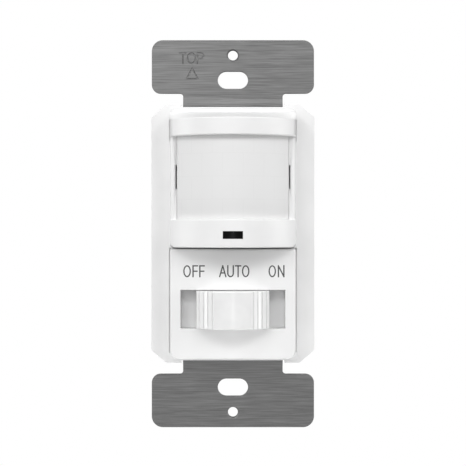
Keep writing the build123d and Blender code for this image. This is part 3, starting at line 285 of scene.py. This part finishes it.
finishes = {
    "front_housing": skinMaterial(whitePolycarbonate),
    "cover_plate": skinMaterial({
        **whitePolycarbonate, "name": "whitePolycarbonateCover",
        "rough": 0.17, "uneven": 0.02, "drift": 12.0,
    }),
    "slide_knob": skinMaterial({
        **whitePolycarbonate, "name": "whitePolycarbonateKnob",
        "rough": 0.18, "uneven": 0.01, "depth": 0.0003, "drift": 4.0,
    }),
    "mounting_strap": brushedZincSteel(strapLook),
    "fresnel_lens": milkyPolyethylene(lensLook),
    # Cast smoked acrylic: close to black, with a sharp polished face
    "sensor_window": skinMaterial({
        "name": "smokedAcrylic", "low": "#020202", "high": "#050506",
        "rough": 0.14, "uneven": 0.03, "grain": 0.5, "depth": 0.0005,
        "shader": {"IOR": 1.49, "Specular IOR Level": 0.08},
    }),
    # Flame retardant polycarbonate from a spark eroded mould: dark grey, evenly matt and pebbled
    "rear_housing": skinMaterial({
        "name": "sparkErodedPolycarbonate", "low": "#232426", "high": "#2C2D2F",
        "rough": 0.55, "grain": 0.2, "depth": 0.018, "drift": 8.0, "shader": {"IOR": 1.58},
    }),
    # Moulded black nylon: matt, a little milky where it filled last
    "lens_retainer": skinMaterial({
        "name": "blackNylon", "low": "#131314", "high": "#1F1F20",
        "rough": 0.48, "grain": 0.3, "depth": 0.006, "shader": {"IOR": 1.53},
    }),
    # Moulded black acetal: slippery and slightly glossier than nylon
    "switch_actuator": skinMaterial({
        "name": "blackAcetal", "low": "#161617", "high": "#1C1C1E",
        "rough": 0.36, "grain": 0.3, "depth": 0.003, "shader": {"IOR": 1.48},
    }),
    # Zinc plated and clear passivated steel: bluish grey with tumbled marks
    "housing_screws": skinMaterial({
        "name": "bluePassivatedZinc", "low": "#A3A7AA", "high": "#BFC3C6",
        "rough": 0.32, "uneven": 0.09, "grain": 0.3, "depth": 0.008, "drift": 2.0,
        "shader": {"Metallic": 1.0},
    }),
    "control_board": solderMaskBoard(boardLook),
    # Drawn nickel silver can with rolled marks: pale warm grey
    "pir_detector": skinMaterial({
        "name": "drawnNickelSilver", "low": "#B5B3AD", "high": "#CBC9C2",
        "rough": 0.26, "uneven": 0.06, "grain": 0.25, "depth": 0.004, "drift": 2.0,
        "shader": {"Metallic": 1.0},
    }),
    # Coated silicon infrared filter: dark and faintly bronze, polished
    "pir_filter": skinMaterial({
        "name": "coatedSilicon", "low": "#211C1A", "high": "#322622",
        "rough": 0.07, "uneven": 0.02, "grain": 0.8, "depth": 0.0003, "drift": 1.6,
        "shader": {"IOR": 2.4, "Coat Weight": 0.5},
    }),
    # Moulded natural nylon: creamy and a little translucent
    "pir_spacer": skinMaterial({
        "name": "naturalNylon", "low": "#D9D3C2", "high": "#E2DDCE",
        "rough": 0.44, "grain": 0.3, "depth": 0.004,
        "shader": {"IOR": 1.53, "Subsurface Weight": 0.2, "Subsurface Scale": 0.5 * mm},
    }),
    # Cast red epoxy: coloured through, glassy skin
    "indicator_led": skinMaterial({
        "name": "castRedEpoxy", "low": "#8E0F12", "high": "#B01A1C",
        "rough": 0.1, "uneven": 0.03, "grain": 0.6, "depth": 0.0008, "drift": 1.2,
        "shader": {"IOR": 1.55, "Transmission Weight": 0.35, "Coat Weight": 0.4},
    }),
    # Lacquered ceramic cell: warm red brown under clear epoxy
    "photocell": skinMaterial({
        "name": "lacqueredCeramic", "low": "#A8662E", "high": "#C98748",
        "rough": 0.16, "uneven": 0.03, "grain": 0.3, "depth": 0.002, "drift": 0.8,
        "shader": {"IOR": 1.55, "Coat Weight": 0.6},
    }),
    # Transfer moulded black epoxy: charcoal and finely gritty
    "microcontroller": skinMaterial({
        "name": "blackMouldedEpoxy", "low": "#1B1C1D", "high": "#242526",
        "rough": 0.6, "grain": 0.12, "depth": 0.006, "drift": 2.0, "shader": {"IOR": 1.55},
    }),
    # Glass filled polyester: black with pale fibre ends at its skin
    "board_header": skinMaterial({
        "name": "glassFilledPolyester", "low": "#18191A", "high": "#26282A",
        "rough": 0.45, "grain": 0.15, "depth": 0.005, "drift": 0.8, "shader": {"IOR": 1.57},
    }),
    # Pressed phenolic sheet: tan brown, with cloudy resin
    "slide_switch_base": skinMaterial({
        "name": "pressedPhenolic", "low": "#6A4526", "high": "#87603A",
        "rough": 0.42, "grain": 0.4, "depth": 0.006, "drift": 1.5, "shader": {"IOR": 1.6},
    }),
    # Tin plated steel: bright, with a soft white bloom
    "slide_switch_shell": skinMaterial({
        "name": "tinPlatedSteel", "low": "#B4B6B6", "high": "#D2D3D2",
        "rough": 0.28, "uneven": 0.08, "grain": 0.35, "depth": 0.004, "drift": 1.6,
        "shader": {"Metallic": 1.0},
    }),
    # Silvered copper strip: warm pink where the silver is thin
    "switch_contact": skinMaterial({
        "name": "silveredCopper", "low": "#C98F6C", "high": "#D9C2AE",
        "rough": 0.24, "uneven": 0.06, "grain": 0.3, "depth": 0.003, "drift": 1.0,
        "shader": {"Metallic": 1.0},
    }),
    # Moulded blue thermoplastic of a sealed relay: satin, with slight flow marks
    "relay": skinMaterial({
        "name": "blueRelayPolyester", "low": "#1E4C8C", "high": "#2558A0",
        "rough": 0.34, "grain": 0.3, "depth": 0.003, "drift": 4.0, "stretch": (1, 1, 3),
        "shader": {"IOR": 1.57},
    }),
    # Box of a potted film capacitor: mustard yellow, satin
    "film_capacitor": skinMaterial({
        "name": "yellowFilmBox", "low": "#C99A22", "high": "#DAAC33",
        "rough": 0.38, "grain": 0.3, "depth": 0.003, "drift": 3.0, "shader": {"IOR": 1.57},
    }),
    # Dipped epoxy powder coat: deep blue, waxy and slightly lumpy
    "varistor": skinMaterial({
        "name": "dippedEpoxyCoat", "low": "#173F7A", "high": "#1F4F92",
        "rough": 0.3, "grain": 1.2, "depth": 0.05, "drift": 3.0,
        "shader": {"IOR": 1.55, "Coat Weight": 0.3},
    }),
    # Shrunk vinyl sleeve on an aluminium can: dark, with a tight plastic sheen
    "bulk_capacitor": skinMaterial({
        "name": "shrunkVinylSleeve", "low": "#16203A", "high": "#1D2A49",
        "rough": 0.26, "grain": 0.8, "depth": 0.006, "drift": 4.0, "stretch": (1, 1, 2),
        "shader": {"IOR": 1.53},
    }),
    # Sintered ferrite: near black, dry and porous
    "choke": skinMaterial({
        "name": "sinteredFerrite", "low": "#2A2B2B", "high": "#3B3C3C",
        "rough": 0.62, "grain": 0.15, "depth": 0.015, "drift": 1.5, "shader": {"IOR": 1.9},
    }),
    # Glazed ceramic tube: warm white with a thin gloss
    "fuse": skinMaterial({
        "name": "glazedCeramic", "low": "#D8D2C2", "high": "#E4DFD2",
        "rough": 0.2, "grain": 0.5, "depth": 0.002, "drift": 2.0,
        "shader": {"IOR": 1.55, "Coat Weight": 0.4},
    }),
    # Flameproof resistor lacquer: grey green, matt and lumpy at the caps
    "dropper_resistor": skinMaterial({
        "name": "flameproofLacquer", "low": "#7D8B83", "high": "#95A39A",
        "rough": 0.46, "grain": 0.5, "depth": 0.01, "drift": 1.8, "shader": {"IOR": 1.5},
    }),
    # Rolled and stamped brass: warm yellow, with long fine roll marks
    "line_terminal": skinMaterial({
        "name": "rolledBrass", "low": "#B08A45", "high": "#CDAA63",
        "rough": 0.3, "uneven": 0.08, "grain": 0.2, "depth": 0.005, "drift": 2.2,
        "stretch": (1, 1, 8), "shader": {"Metallic": 1.0},
    }),
    # Turned brass: warm yellow with round tool marks
    "brass_terminal_screws": skinMaterial({
        "name": "turnedBrass", "low": "#B9924B", "high": "#D6B56C",
        "rough": 0.26, "uneven": 0.08, "grain": 0.18, "depth": 0.005, "drift": 1.5,
        "shader": {"Metallic": 1.0},
    }),
    # Barrel nickel plate: pale and slightly yellow, with soft dents
    "neutral_terminal": skinMaterial({
        "name": "barrelNickelPlate", "low": "#B9B6AE", "high": "#D0CDC4",
        "rough": 0.25, "uneven": 0.07, "grain": 0.3, "depth": 0.005, "drift": 2.2,
        "shader": {"Metallic": 1.0},
    }),
    # Dyed passivation on a zinc plated screw: metallic green, darker where it pooled
    "ground_screw": skinMaterial({
        "name": "greenPassivatedZinc", "low": "#1E6B37", "high": "#3E9A57",
        "rough": 0.32, "uneven": 0.08, "grain": 0.25, "depth": 0.006, "drift": 1.4,
        "shader": {"Metallic": 1.0},
    }),
    # Moulded trimmer body: blue grey, satin
    "time_trimmer": skinMaterial({
        "name": "trimmerPolyester", "low": "#27507F", "high": "#315F93",
        "rough": 0.4, "grain": 0.25, "depth": 0.003, "drift": 1.5, "shader": {"IOR": 1.57},
    }),
    # Moulded acetal dial: natural white, waxy
    "time_dial": skinMaterial({
        "name": "whiteAcetal", "low": "#DCDCD8", "high": "#E6E6E2",
        "rough": 0.36, "grain": 0.3, "depth": 0.003, "drift": 1.5, "shader": {"IOR": 1.48},
    }),
}

# Nodes that share the finish of another one
sameFinish = {
    "power_board": "control_board",
    "pir_leads": "pir_detector",
    "amplifier_chip": "microcontroller",
    "rectifier": "microcontroller",
    "ground_terminal": "slide_switch_shell",
    "filter_capacitor": "bulk_capacitor",
    "load_terminal": "line_terminal",
    "clamp_plates": "line_terminal",
    "neutral_terminal_screw": "neutral_terminal",
    "range_trimmer": "time_trimmer",
    "light_trimmer": "time_trimmer",
    "range_dial": "time_dial",
    "light_dial": "time_dial",
}

for name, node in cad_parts.items():
    node.material_slots[0].material = finishes[sameFinish.get(name, name)]
print("finishes on", len(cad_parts), "nodes from", len(finishes), "materials")


# Pad printed ink: flat dark grey, with a slight drift in strength
ink = skinMaterial({
    "name": "padPrintedInk", "low": "#3A3A3A", "high": "#444444",
    "rough": 0.5, "grain": 0.15, "depth": 0.001, "drift": 0.6, "shader": {"IOR": 1.5},
})


lettering = {
    "arcStep": 12,          # degrees between the points of a curved stroke
    "fewestSteps": 6,
    "roundness": 3,         # of a line's section
    "closer": 1e-6,         # ends nearer than this make a closed loop
}


def arc(middle, reach, start, end):
    # Points of an arc from start to end, in degrees from the right
    steps = max(lettering["fewestSteps"], round(abs(end - start) / lettering["arcStep"]))
    turns = [math.radians(start + (end - start) * i / steps) for i in range(steps + 1)]
    return [(middle[0] + reach[0] * math.cos(t), middle[1] + reach[1] * math.sin(t)) for t in turns]


# Strokes of a plain sans letter in a unit square
bowl = [(0, 1), (0.55, 1)] + arc((0.55, 0.74), (0.45, 0.26), 90, -90) + [(0, 0.48)]
strokes = {
    "A": [[(0, 0), (0.5, 1)], [(0.5, 1), (1, 0)], [(0.2, 0.34), (0.8, 0.34)]],
    "E": [[(0, 0), (0, 1)], [(0, 1), (1, 1)], [(0, 0.52), (0.88, 0.52)], [(0, 0), (1, 0)]],
    "F": [[(0, 0), (0, 1)], [(0, 1), (1, 1)], [(0, 0.5), (0.9, 0.5)]],
    "G": [arc((0.5, 0.5), (0.5, 0.5), 45, 315), [(1, 0.15), (1, 0.45)], [(1, 0.45), (0.55, 0.45)]],
    "H": [[(0, 0), (0, 1)], [(1, 0), (1, 1)], [(0, 0.5), (1, 0.5)]],
    "I": [[(0.5, 0), (0.5, 1)]],
    "L": [[(0, 0), (0, 1)], [(0, 0), (1, 0)]],
    "M": [[(0, 0), (0, 1)], [(0, 1), (0.5, 0.2)], [(0.5, 0.2), (1, 1)], [(1, 1), (1, 0)]],
    "N": [[(0, 0), (0, 1)], [(0, 1), (1, 0)], [(1, 0), (1, 1)]],
    "O": [arc((0.5, 0.5), (0.5, 0.5), 0, 360)],
    "P": [[(0, 0), (0, 1)], bowl],
    "R": [[(0, 0), (0, 1)], bowl, [(0.5, 0.48), (1, 0)]],
    "T": [[(0.5, 0), (0.5, 1)], [(0, 1), (1, 1)]],
    "U": [[(0, 1), (0, 0.3)] + arc((0.5, 0.3), (0.5, 0.3), 180, 360) + [(1, 1)]],
    "triangle": [[(0, 0), (1, 0)], [(1, 0), (0.5, 1)], [(0.5, 1), (0, 0)]],
}


def isLoop(points):
    return math.dist(points[0], points[-1]) < lettering["closer"]


def lineWork(name, lines, width, thickness):
    # Runs of points across and up, in millimetres, as one closed mesh of flattened round lines
    curve = bpy.data.curves.new(name, "CURVE")
    curve.dimensions = "3D"
    curve.bevel_depth = width / 2 * mm
    curve.bevel_resolution = lettering["roundness"]
    curve.use_fill_caps = True
    for points in lines:
        closed = isLoop(points)
        run = points[:-1] if closed else points
        spline = curve.splines.new("POLY")
        spline.points.add(len(run) - 1)
        for point, (across, up) in zip(spline.points, run):
            point.co = (across * mm, 0, up * mm, 1)
        spline.use_cyclic_u = closed
    holder = bpy.data.objects.new(name, curve)
    bpy.context.collection.objects.link(holder)
    bpy.context.view_layer.update()
    mesh = bpy.data.meshes.new_from_object(holder)
    bpy.data.objects.remove(holder)
    mesh.transform(Matrix.Diagonal((1, thickness / width, 1, 1)))
    return mesh


def squareEnds(points, extra):
    # Both ends of an open run, carried on by extra
    if isLoop(points):
        return points
    grown = list(points)
    for end, beside in ((0, 1), (-1, -2)):
        (x, z), (nextX, nextZ) = points[end], points[beside]
        reach = math.dist((x, z), (nextX, nextZ))
        grown[end] = (x + (x - nextX) / reach * extra, z + (z - nextZ) / reach * extra)
    return grown


def letterLines(letter, left, bottom, width, height, line):
    # The strokes of one letter inside its box, in millimetres
    return [
        squareEnds([
            (left + line / 2 + x * (width - line), bottom + line / 2 + z * (height - line))
            for x, z in points
        ], line / 2)
        for points in strokes[letter]
    ]


def linkPiece(name, mesh, material, body):
    # A finished mesh as a piece that rides on a body
    mesh.materials.append(material)
    piece = bpy.data.objects.new(name, mesh)
    bpy.context.collection.objects.link(piece)
    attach(piece, body)
    return piece


cleaning = {
    "merge": 0.002,         # points nearer than this become one
    "flat": 0.2,            # degrees between faces that are joined
}


def mergedCopy(node):
    # A CAD node's mesh as one closed shape with its flat faces joined
    shape = bmesh.new()
    shape.from_mesh(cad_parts[node].data)
    bmesh.ops.remove_doubles(shape, verts=shape.verts, dist=cleaning["merge"] * mm)
    bmesh.ops.dissolve_limit(
        shape, angle_limit=math.radians(cleaning["flat"]), verts=shape.verts, edges=shape.edges,
    )
    return shape


def meshFrom(shape, name):
    # A bmesh as a mesh
    mesh = bpy.data.meshes.new(name)
    shape.to_mesh(mesh)
    shape.free()
    return mesh


def evaluatedMesh(piece):
    # The piece's mesh as its modifiers leave it
    bpy.context.view_layer.update()
    evaluated = piece.evaluated_get(bpy.context.evaluated_depsgraph_get())
    return bpy.data.meshes.new_from_object(evaluated)


def cutAway(piece, tool, shadeAngle):
    # Cuts the tool's mesh out of a piece and shades the piece smooth below an angle in degrees
    cutter = bpy.data.objects.new(tool.name, tool)
    bpy.context.collection.objects.link(cutter)
    cut = piece.modifiers.new("cut", "BOOLEAN")
    cut.operation = "DIFFERENCE"
    cut.solver = "EXACT"
    cut.object = cutter
    mesh = evaluatedMesh(piece)
    piece.modifiers.clear()
    piece.data = mesh
    bpy.data.objects.remove(cutter)
    mesh.polygons.foreach_set("use_smooth", [True] * len(mesh.polygons))
    mesh.set_sharp_from_angle(angle=math.radians(shadeAngle))
    weights = piece.modifiers.new("faceWeights", "WEIGHTED_NORMAL")
    weights.weight = 100
    weights.keep_sharp = True
    print(piece.name, "cut,", len(mesh.polygons), "faces")


strapStamp = {
    "earFront": -1.2,                       # where the front face of the ear is
    # left and width of each letter, bottom and height of them all
    "letters": {"T": (-14.6, 2.05), "O": (-12.5, 2.5), "P": (-9.8, 2.05)},
    "bottom": 46.0,
    "height": 3.15,
    "triangle": (-12.75, 41.85, 3.4, 3.2),  # left, bottom, width, height
    "groove": 0.38,                         # width of the stamped line
    "depth": 0.2,
    "voxel": 0.05,                          # joins the strokes of the stamp into one shape
    "edge": 0.1,                            # rounding that blanking and tumbling leave
    "edgeAngle": 50,                        # degrees, above which an edge is rounded
    "shadeAngle": 35,
}


def stampedStrap(look):
    # The strap with its edges broken, and the word TOP and a triangle stamped in its upper ear
    shape = mergedCopy("mounting_strap")
    sharp = math.radians(look["edgeAngle"])
    rims = [e for e in shape.edges if e.is_manifold and e.calc_face_angle() > sharp]
    bmesh.ops.bevel(
        shape, geom=rims, offset=look["edge"] * mm, offset_type="OFFSET", affect="EDGES",
        segments=2, profile=0.5, material=-1, clamp_overlap=True,
    )
    mesh = meshFrom(shape, "stamped_strap")
    piece = linkPiece(mesh.name, mesh, finishes["mounting_strap"], "housing")

    lines = letterLines("triangle", *look["triangle"], look["groove"])
    for letter, (left, width) in look["letters"].items():
        lines += letterLines(letter, left, look["bottom"], width, look["height"], look["groove"])
    tool = lineWork("stamp", lines, look["groove"], 2 * look["depth"])
    # enlarged to a unit for each millimetre, since a voxel can't be small enough in metres
    tool.transform(Matrix.Scale(1 / mm, 4))
    stamp = bpy.data.objects.new("stamp", tool)
    bpy.context.collection.objects.link(stamp)
    joined = stamp.modifiers.new("joined", "REMESH")
    joined.mode = "VOXEL"
    joined.voxel_size = look["voxel"]
    tool = evaluatedMesh(stamp)
    bpy.data.objects.remove(stamp)
    tool.transform(Matrix.Translation((0, look["earFront"] * mm, 0)) @ Matrix.Scale(mm, 4))
    cutAway(piece, tool, look["shadeAngle"])
    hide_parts("mounting_strap")


stampedStrap(strapStamp)

housingRim = {
    "flangeFront": -3.2,            # where the front face of the flange is
    "wall": 16.65,                  # from the middle to the side of the raised frame
    # heights of the grooves beside the visor and beside the cover
    "grooves": [(24.9, 30.7), (-32.0, -3.8)],
    "grooveWidth": 0.55,
    "grooveDepth": 0.8,
    "overlap": 0.02,                # of a groove into the frame's side
    # across, depth and height of the dark notch below each lower corner of the bar
    "notch": ((15.5, 16.8), (-8.9, -5.0), (-3.7, -3.25)),
    "rounding": 0.35,               # of the flange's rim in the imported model
    "crisper": 0.12,                # as the mould leaves it
    "slack": 0.01,                  # in depth, around the points that belong to the rim
    "inside": (17.2, 33.5),         # half width and half height that hold the raised frame
    "shadeAngle": 30,
}


def crispRim(shape, look):
    # Draws the rounded rim of the flange tight, along each point's own way outwards
    pull = look["rounding"] - look["crisper"]
    middle = look["flangeFront"] + look["rounding"]
    for point in shape.verts:
        across, depth, up = (c / mm for c in point.co)
        if not look["flangeFront"] - look["slack"] < depth < middle + look["slack"]:
            continue
        if abs(across) < look["inside"][0] and abs(up) < look["inside"][1]:
            continue
        forward = min(max((middle - depth) / look["rounding"], 0.0), 1.0)
        outward = Vector((point.normal.x, 0, point.normal.z)).normalized()
        outwardShare = math.sqrt(1 - forward ** 2)
        point.co += pull * mm * (outward * (1 - outwardShare) - Vector((0, 1 - forward, 0)))


def groovedHousing(look):
    # The front housing with its rim, and grooves in the flange beside the visor and the cover
    shape = mergedCopy("front_housing")
    shape.normal_update()
    crispRim(shape, look)
    mesh = meshFrom(shape, "grooved_housing")
    piece = linkPiece(mesh.name, mesh, finishes["front_housing"], "housing")

    across = (look["wall"] - look["overlap"], look["wall"] + look["grooveWidth"])
    depth = (
        look["flangeFront"] - look["grooveDepth"], look["flangeFront"] + look["grooveDepth"],
    )
    cuts = [look["notch"]] + [(across, depth, height) for height in look["grooves"]]
    shape = bmesh.new()
    for side in (-1, 1):
        for spans in cuts:
            size = [(high - low) * mm for low, high in spans]
            place = [(high + low) / 2 * mm for low, high in spans]
            place[0] *= side
            bmesh.ops.create_cube(shape, size=1.0, matrix=(
                Matrix.Translation(place) @ Matrix.Diagonal((*size, 1))
            ))
    cutAway(piece, meshFrom(shape, "grooveTool"), look["shadeAngle"])
    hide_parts("front_housing")


groovedHousing(housingRim)

coverWords = {
    "line": 0.36,           # width of the strokes
    "film": 0.02,           # thickness of the ink
    "bottom": -11.52,
    "height": 3.2,
    # left and width of each letter
    "OFF": [("O", -13.13, 2.03), ("F", -10.72, 1.52), ("F", -8.92, 1.5)],
    "AUTO": [("A", -3.68, 2.0), ("U", -1.52, 1.8), ("T", 0.53, 1.7), ("O", 2.38, 2.0)],
    "ON": [("O", 9.42, 1.98), ("N", 11.86, 1.8)],
}


def printCover(look):
    # The three words above the knob, on the front of the cover
    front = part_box("cover_plate")[0].y
    for word in ("OFF", "AUTO", "ON"):
        lines = []
        for letter, left, width in look[word]:
            lines += letterLines(letter, left, look["bottom"], width, look["height"], look["line"])
        mesh = lineWork("lettering_" + word.lower(), lines, look["line"], look["film"])
        mesh.transform(Matrix.Translation((0, front, 0)))
        linkPiece(mesh.name, mesh, ink, "cover")
    print("words printed on the cover")


printCover(coverWords)

deckPrint = {
    "deckFront": -5.2,              # where the front face of the deck is
    "line": 0.16,
    "film": 0.02,
    "dialLevel": -11.1,
    "tickFrom": 3.3,                # from the dial's middle
    "tickTo": 3.9,
    "turn": 135,                    # of each dial, either way from upright
    "ticks": 7,
    "signPlace": (3.55, -3.35),     # of the plus from the dial's middle, across and up
    "signReach": 0.4,               # half length of the strokes of minus and plus
    "wordBottom": -6.72,
    "wordHeight": 1.2,
    "letterWidth": 0.72,            # narrow, so that each word stays clear of the hook slots
    "letterGap": 0.22,
    "words": {"TIME": -9.5, "RANGE": 0.0, "LIGHT": 9.5},    # and the middle of each dial
}


def printDeck(look):
    # Setting scales under the cover: a word, seven ticks, a minus and a plus for each dial
    pitch = look["letterWidth"] + look["letterGap"]
    signAcross, signUp = look["signPlace"]
    half = look["signReach"]
    for word, middle in look["words"].items():
        left = middle - (len(word) * pitch - look["letterGap"]) / 2
        lines = []
        for place, letter in enumerate(word):
            lines += letterLines(
                letter, left + place * pitch, look["wordBottom"], look["letterWidth"],
                look["wordHeight"], look["line"],
            )
        for place in range(look["ticks"]):
            turn = math.radians(90 + look["turn"] - 2 * look["turn"] * place / (look["ticks"] - 1))
            lines.append([
                (middle + reach * math.cos(turn), look["dialLevel"] + reach * math.sin(turn))
                for reach in (look["tickFrom"], look["tickTo"])
            ])
        for side in (-1, 1):
            x, z = middle + side * signAcross, look["dialLevel"] + signUp
            lines.append([(x - half, z), (x + half, z)])
            if side == 1:
                lines.append([(x, z - half), (x, z + half)])
        mesh = lineWork("scale_" + word.lower(), lines, look["line"], look["film"])
        mesh.transform(Matrix.Translation((0, look["deckFront"] * mm, 0)))
        linkPiece(mesh.name, mesh, ink, "housing")
    print("scales printed around the dials")


printDeck(deckPrint)

studio = {
    "cameraPlace": (0.03, -301.2, 0.19),
    "lens": 85.45,
    "nearest": 10.0,                # the camera sees nothing nearer
    "floorDrop": 150.0,             # below the strap's lower ear
    "floorReach": 260.0,            # from the floor's middle to its edge
    "floorBack": 15.0,              # its middle is as far behind the strap
    "floorSides": 96,
    "fade": (0.45, 0.95),           # shares of its reach between which the floor fades out
    "paper": ("#F2F2F2", "#F6F6F6"),
    "fibre": 1.5,                   # paper fibre is finer, drawn coarser as soft clouds
    "worldLevel": 0.1,
    # place and size in millimetres, then watts
    "lamps": {
        "keyHigh": ((0, -450, 380), (300, 160), 0.72),
        "overhead": ((0, -150, 600), (400, 200), 0.42),
        "upperLeft": ((-350, -400, 400), (250, 250), 1.42),
        "upperRight": ((350, -400, 400), (250, 250), 1.45),
        "frontLeft": ((-210, -560, 200), (200, 250), 0.45),
        "sideLeft": ((-570, -230, 60), (200, 400), 0.95),
        "sideRight": ((570, -260, 60), (200, 400), 1.1),
        "floorLight": ((0, -30, -195), (300, 120), 0.33),
        "stripFront": ((0, -640, 0), (50, 300), 0.12),
    },
    "shineOnly": ("stripFront",),   # adds its gleam and no other light
    "unseen": ("floorLight",),      # near the floor, where it would show as a white plate
}


def addCamera(look):
    # Level, straight in front of the switch
    camera = bpy.data.objects.new("camera", bpy.data.cameras.new("camera"))
    camera.data.lens = look["lens"]
    camera.data.clip_start = look["nearest"] * mm
    camera.location = Vector(look["cameraPlace"]) * mm
    camera.rotation_euler = (math.radians(90), 0, 0)
    bpy.context.collection.objects.link(camera)
    bpy.context.scene.camera = camera


def addLamps(look):
    # Each lamp faces the middle of the switch
    for name, (place, size, watts) in look["lamps"].items():
        lamp = bpy.data.lights.new(name, "AREA")
        lamp.shape = "RECTANGLE"
        lamp.size, lamp.size_y = (s * mm for s in size)
        lamp.energy = watts
        holder = bpy.data.objects.new(name, lamp)
        holder.location = Vector(place) * mm
        holder.rotation_euler = (-holder.location).to_track_quat("-Z", "Y").to_euler()
        holder.visible_diffuse = name not in look["shineOnly"]
        holder.visible_camera = name not in look["unseen"]
        bpy.context.collection.objects.link(holder)


def addWorld(look):
    # White to the camera, in gleams and through clear parts, and a low even light otherwise
    world = bpy.data.worlds.new("studio")
    bpy.context.scene.world = world
    world.use_nodes = True
    tree = world.node_tree
    tree.nodes.clear()
    ray = addNode(tree, "ShaderNodeLightPath")
    seen = ray.outputs["Is Camera Ray"]
    for kind in ("Is Glossy Ray", "Is Transmission Ray"):
        seen = addNode(tree, "ShaderNodeMath", {"operation": "MAXIMUM"}, {
            0: seen, 1: ray.outputs[kind],
        }).outputs[0]
    plain, white = (
        addNode(tree, "ShaderNodeBackground", inputs={"Color": (1, 1, 1, 1), "Strength": level})
        for level in (look["worldLevel"], 1.0)
    )
    both = addNode(tree, "ShaderNodeMixShader", inputs={
        0: seen, 1: plain.outputs[0], 2: white.outputs[0],
    })
    addNode(tree, "ShaderNodeOutputWorld", inputs={"Surface": both.outputs[0]})


def addFloor(look):
    # A disc of pale paper that fades out into the white world
    reach = look["floorReach"] * mm
    material, tree, where = startMaterial("paleFloorPaper")
    distance = addNode(tree, "ShaderNodeVectorMath", {"operation": "LENGTH"}, {0: where})
    fade = addNode(tree, "ShaderNodeMapRange", {"interpolation_type": "SMOOTHSTEP"}, {
        "Value": distance.outputs["Value"],
        "From Min": reach * look["fade"][0], "From Max": reach * look["fade"][1],
    }).outputs["Result"]
    # seen from below the floor is clear, so that the underside of the switch shows
    below = addNode(tree, "ShaderNodeNewGeometry").outputs["Backfacing"]
    fade = addNode(tree, "ShaderNodeMath", {"operation": "MAXIMUM"}, {0: fade, 1: below}).outputs[0]
    fibre = addNode(tree, "ShaderNodeTexNoise", inputs={
        "Vector": where, "Scale": 1 / (look["fibre"] * mm),
    })
    low, high = (linearColour(hexText) for hexText in look["paper"])
    paper = addNode(tree, "ShaderNodeMix", {"data_type": "RGBA"}, {
        0: fibre.outputs["Fac"], 6: low, 7: high,
    })
    flat = addNode(tree, "ShaderNodeBsdfDiffuse", inputs={"Color": paper.outputs[2]})
    gone = addNode(tree, "ShaderNodeBsdfTransparent")
    surface = addNode(tree, "ShaderNodeMixShader", inputs={
        0: fade, 1: flat.outputs[0], 2: gone.outputs[0],
    })
    addNode(tree, "ShaderNodeOutputMaterial", inputs={"Surface": surface.outputs[0]})

    shape = bmesh.new()
    bmesh.ops.create_circle(shape, cap_ends=True, segments=look["floorSides"], radius=reach)
    mesh = meshFrom(shape, "floor")
    mesh.materials.append(material)
    floor = bpy.data.objects.new("floor", mesh)
    floor.location = (0, look["floorBack"] * mm, cadBox[0].z - look["floorDrop"] * mm)
    bpy.context.collection.objects.link(floor)


addCamera(studio)
addLamps(studio)
addWorld(studio)
addFloor(studio)
bpy.context.scene.view_settings.view_transform = "Standard"
print("studio set")
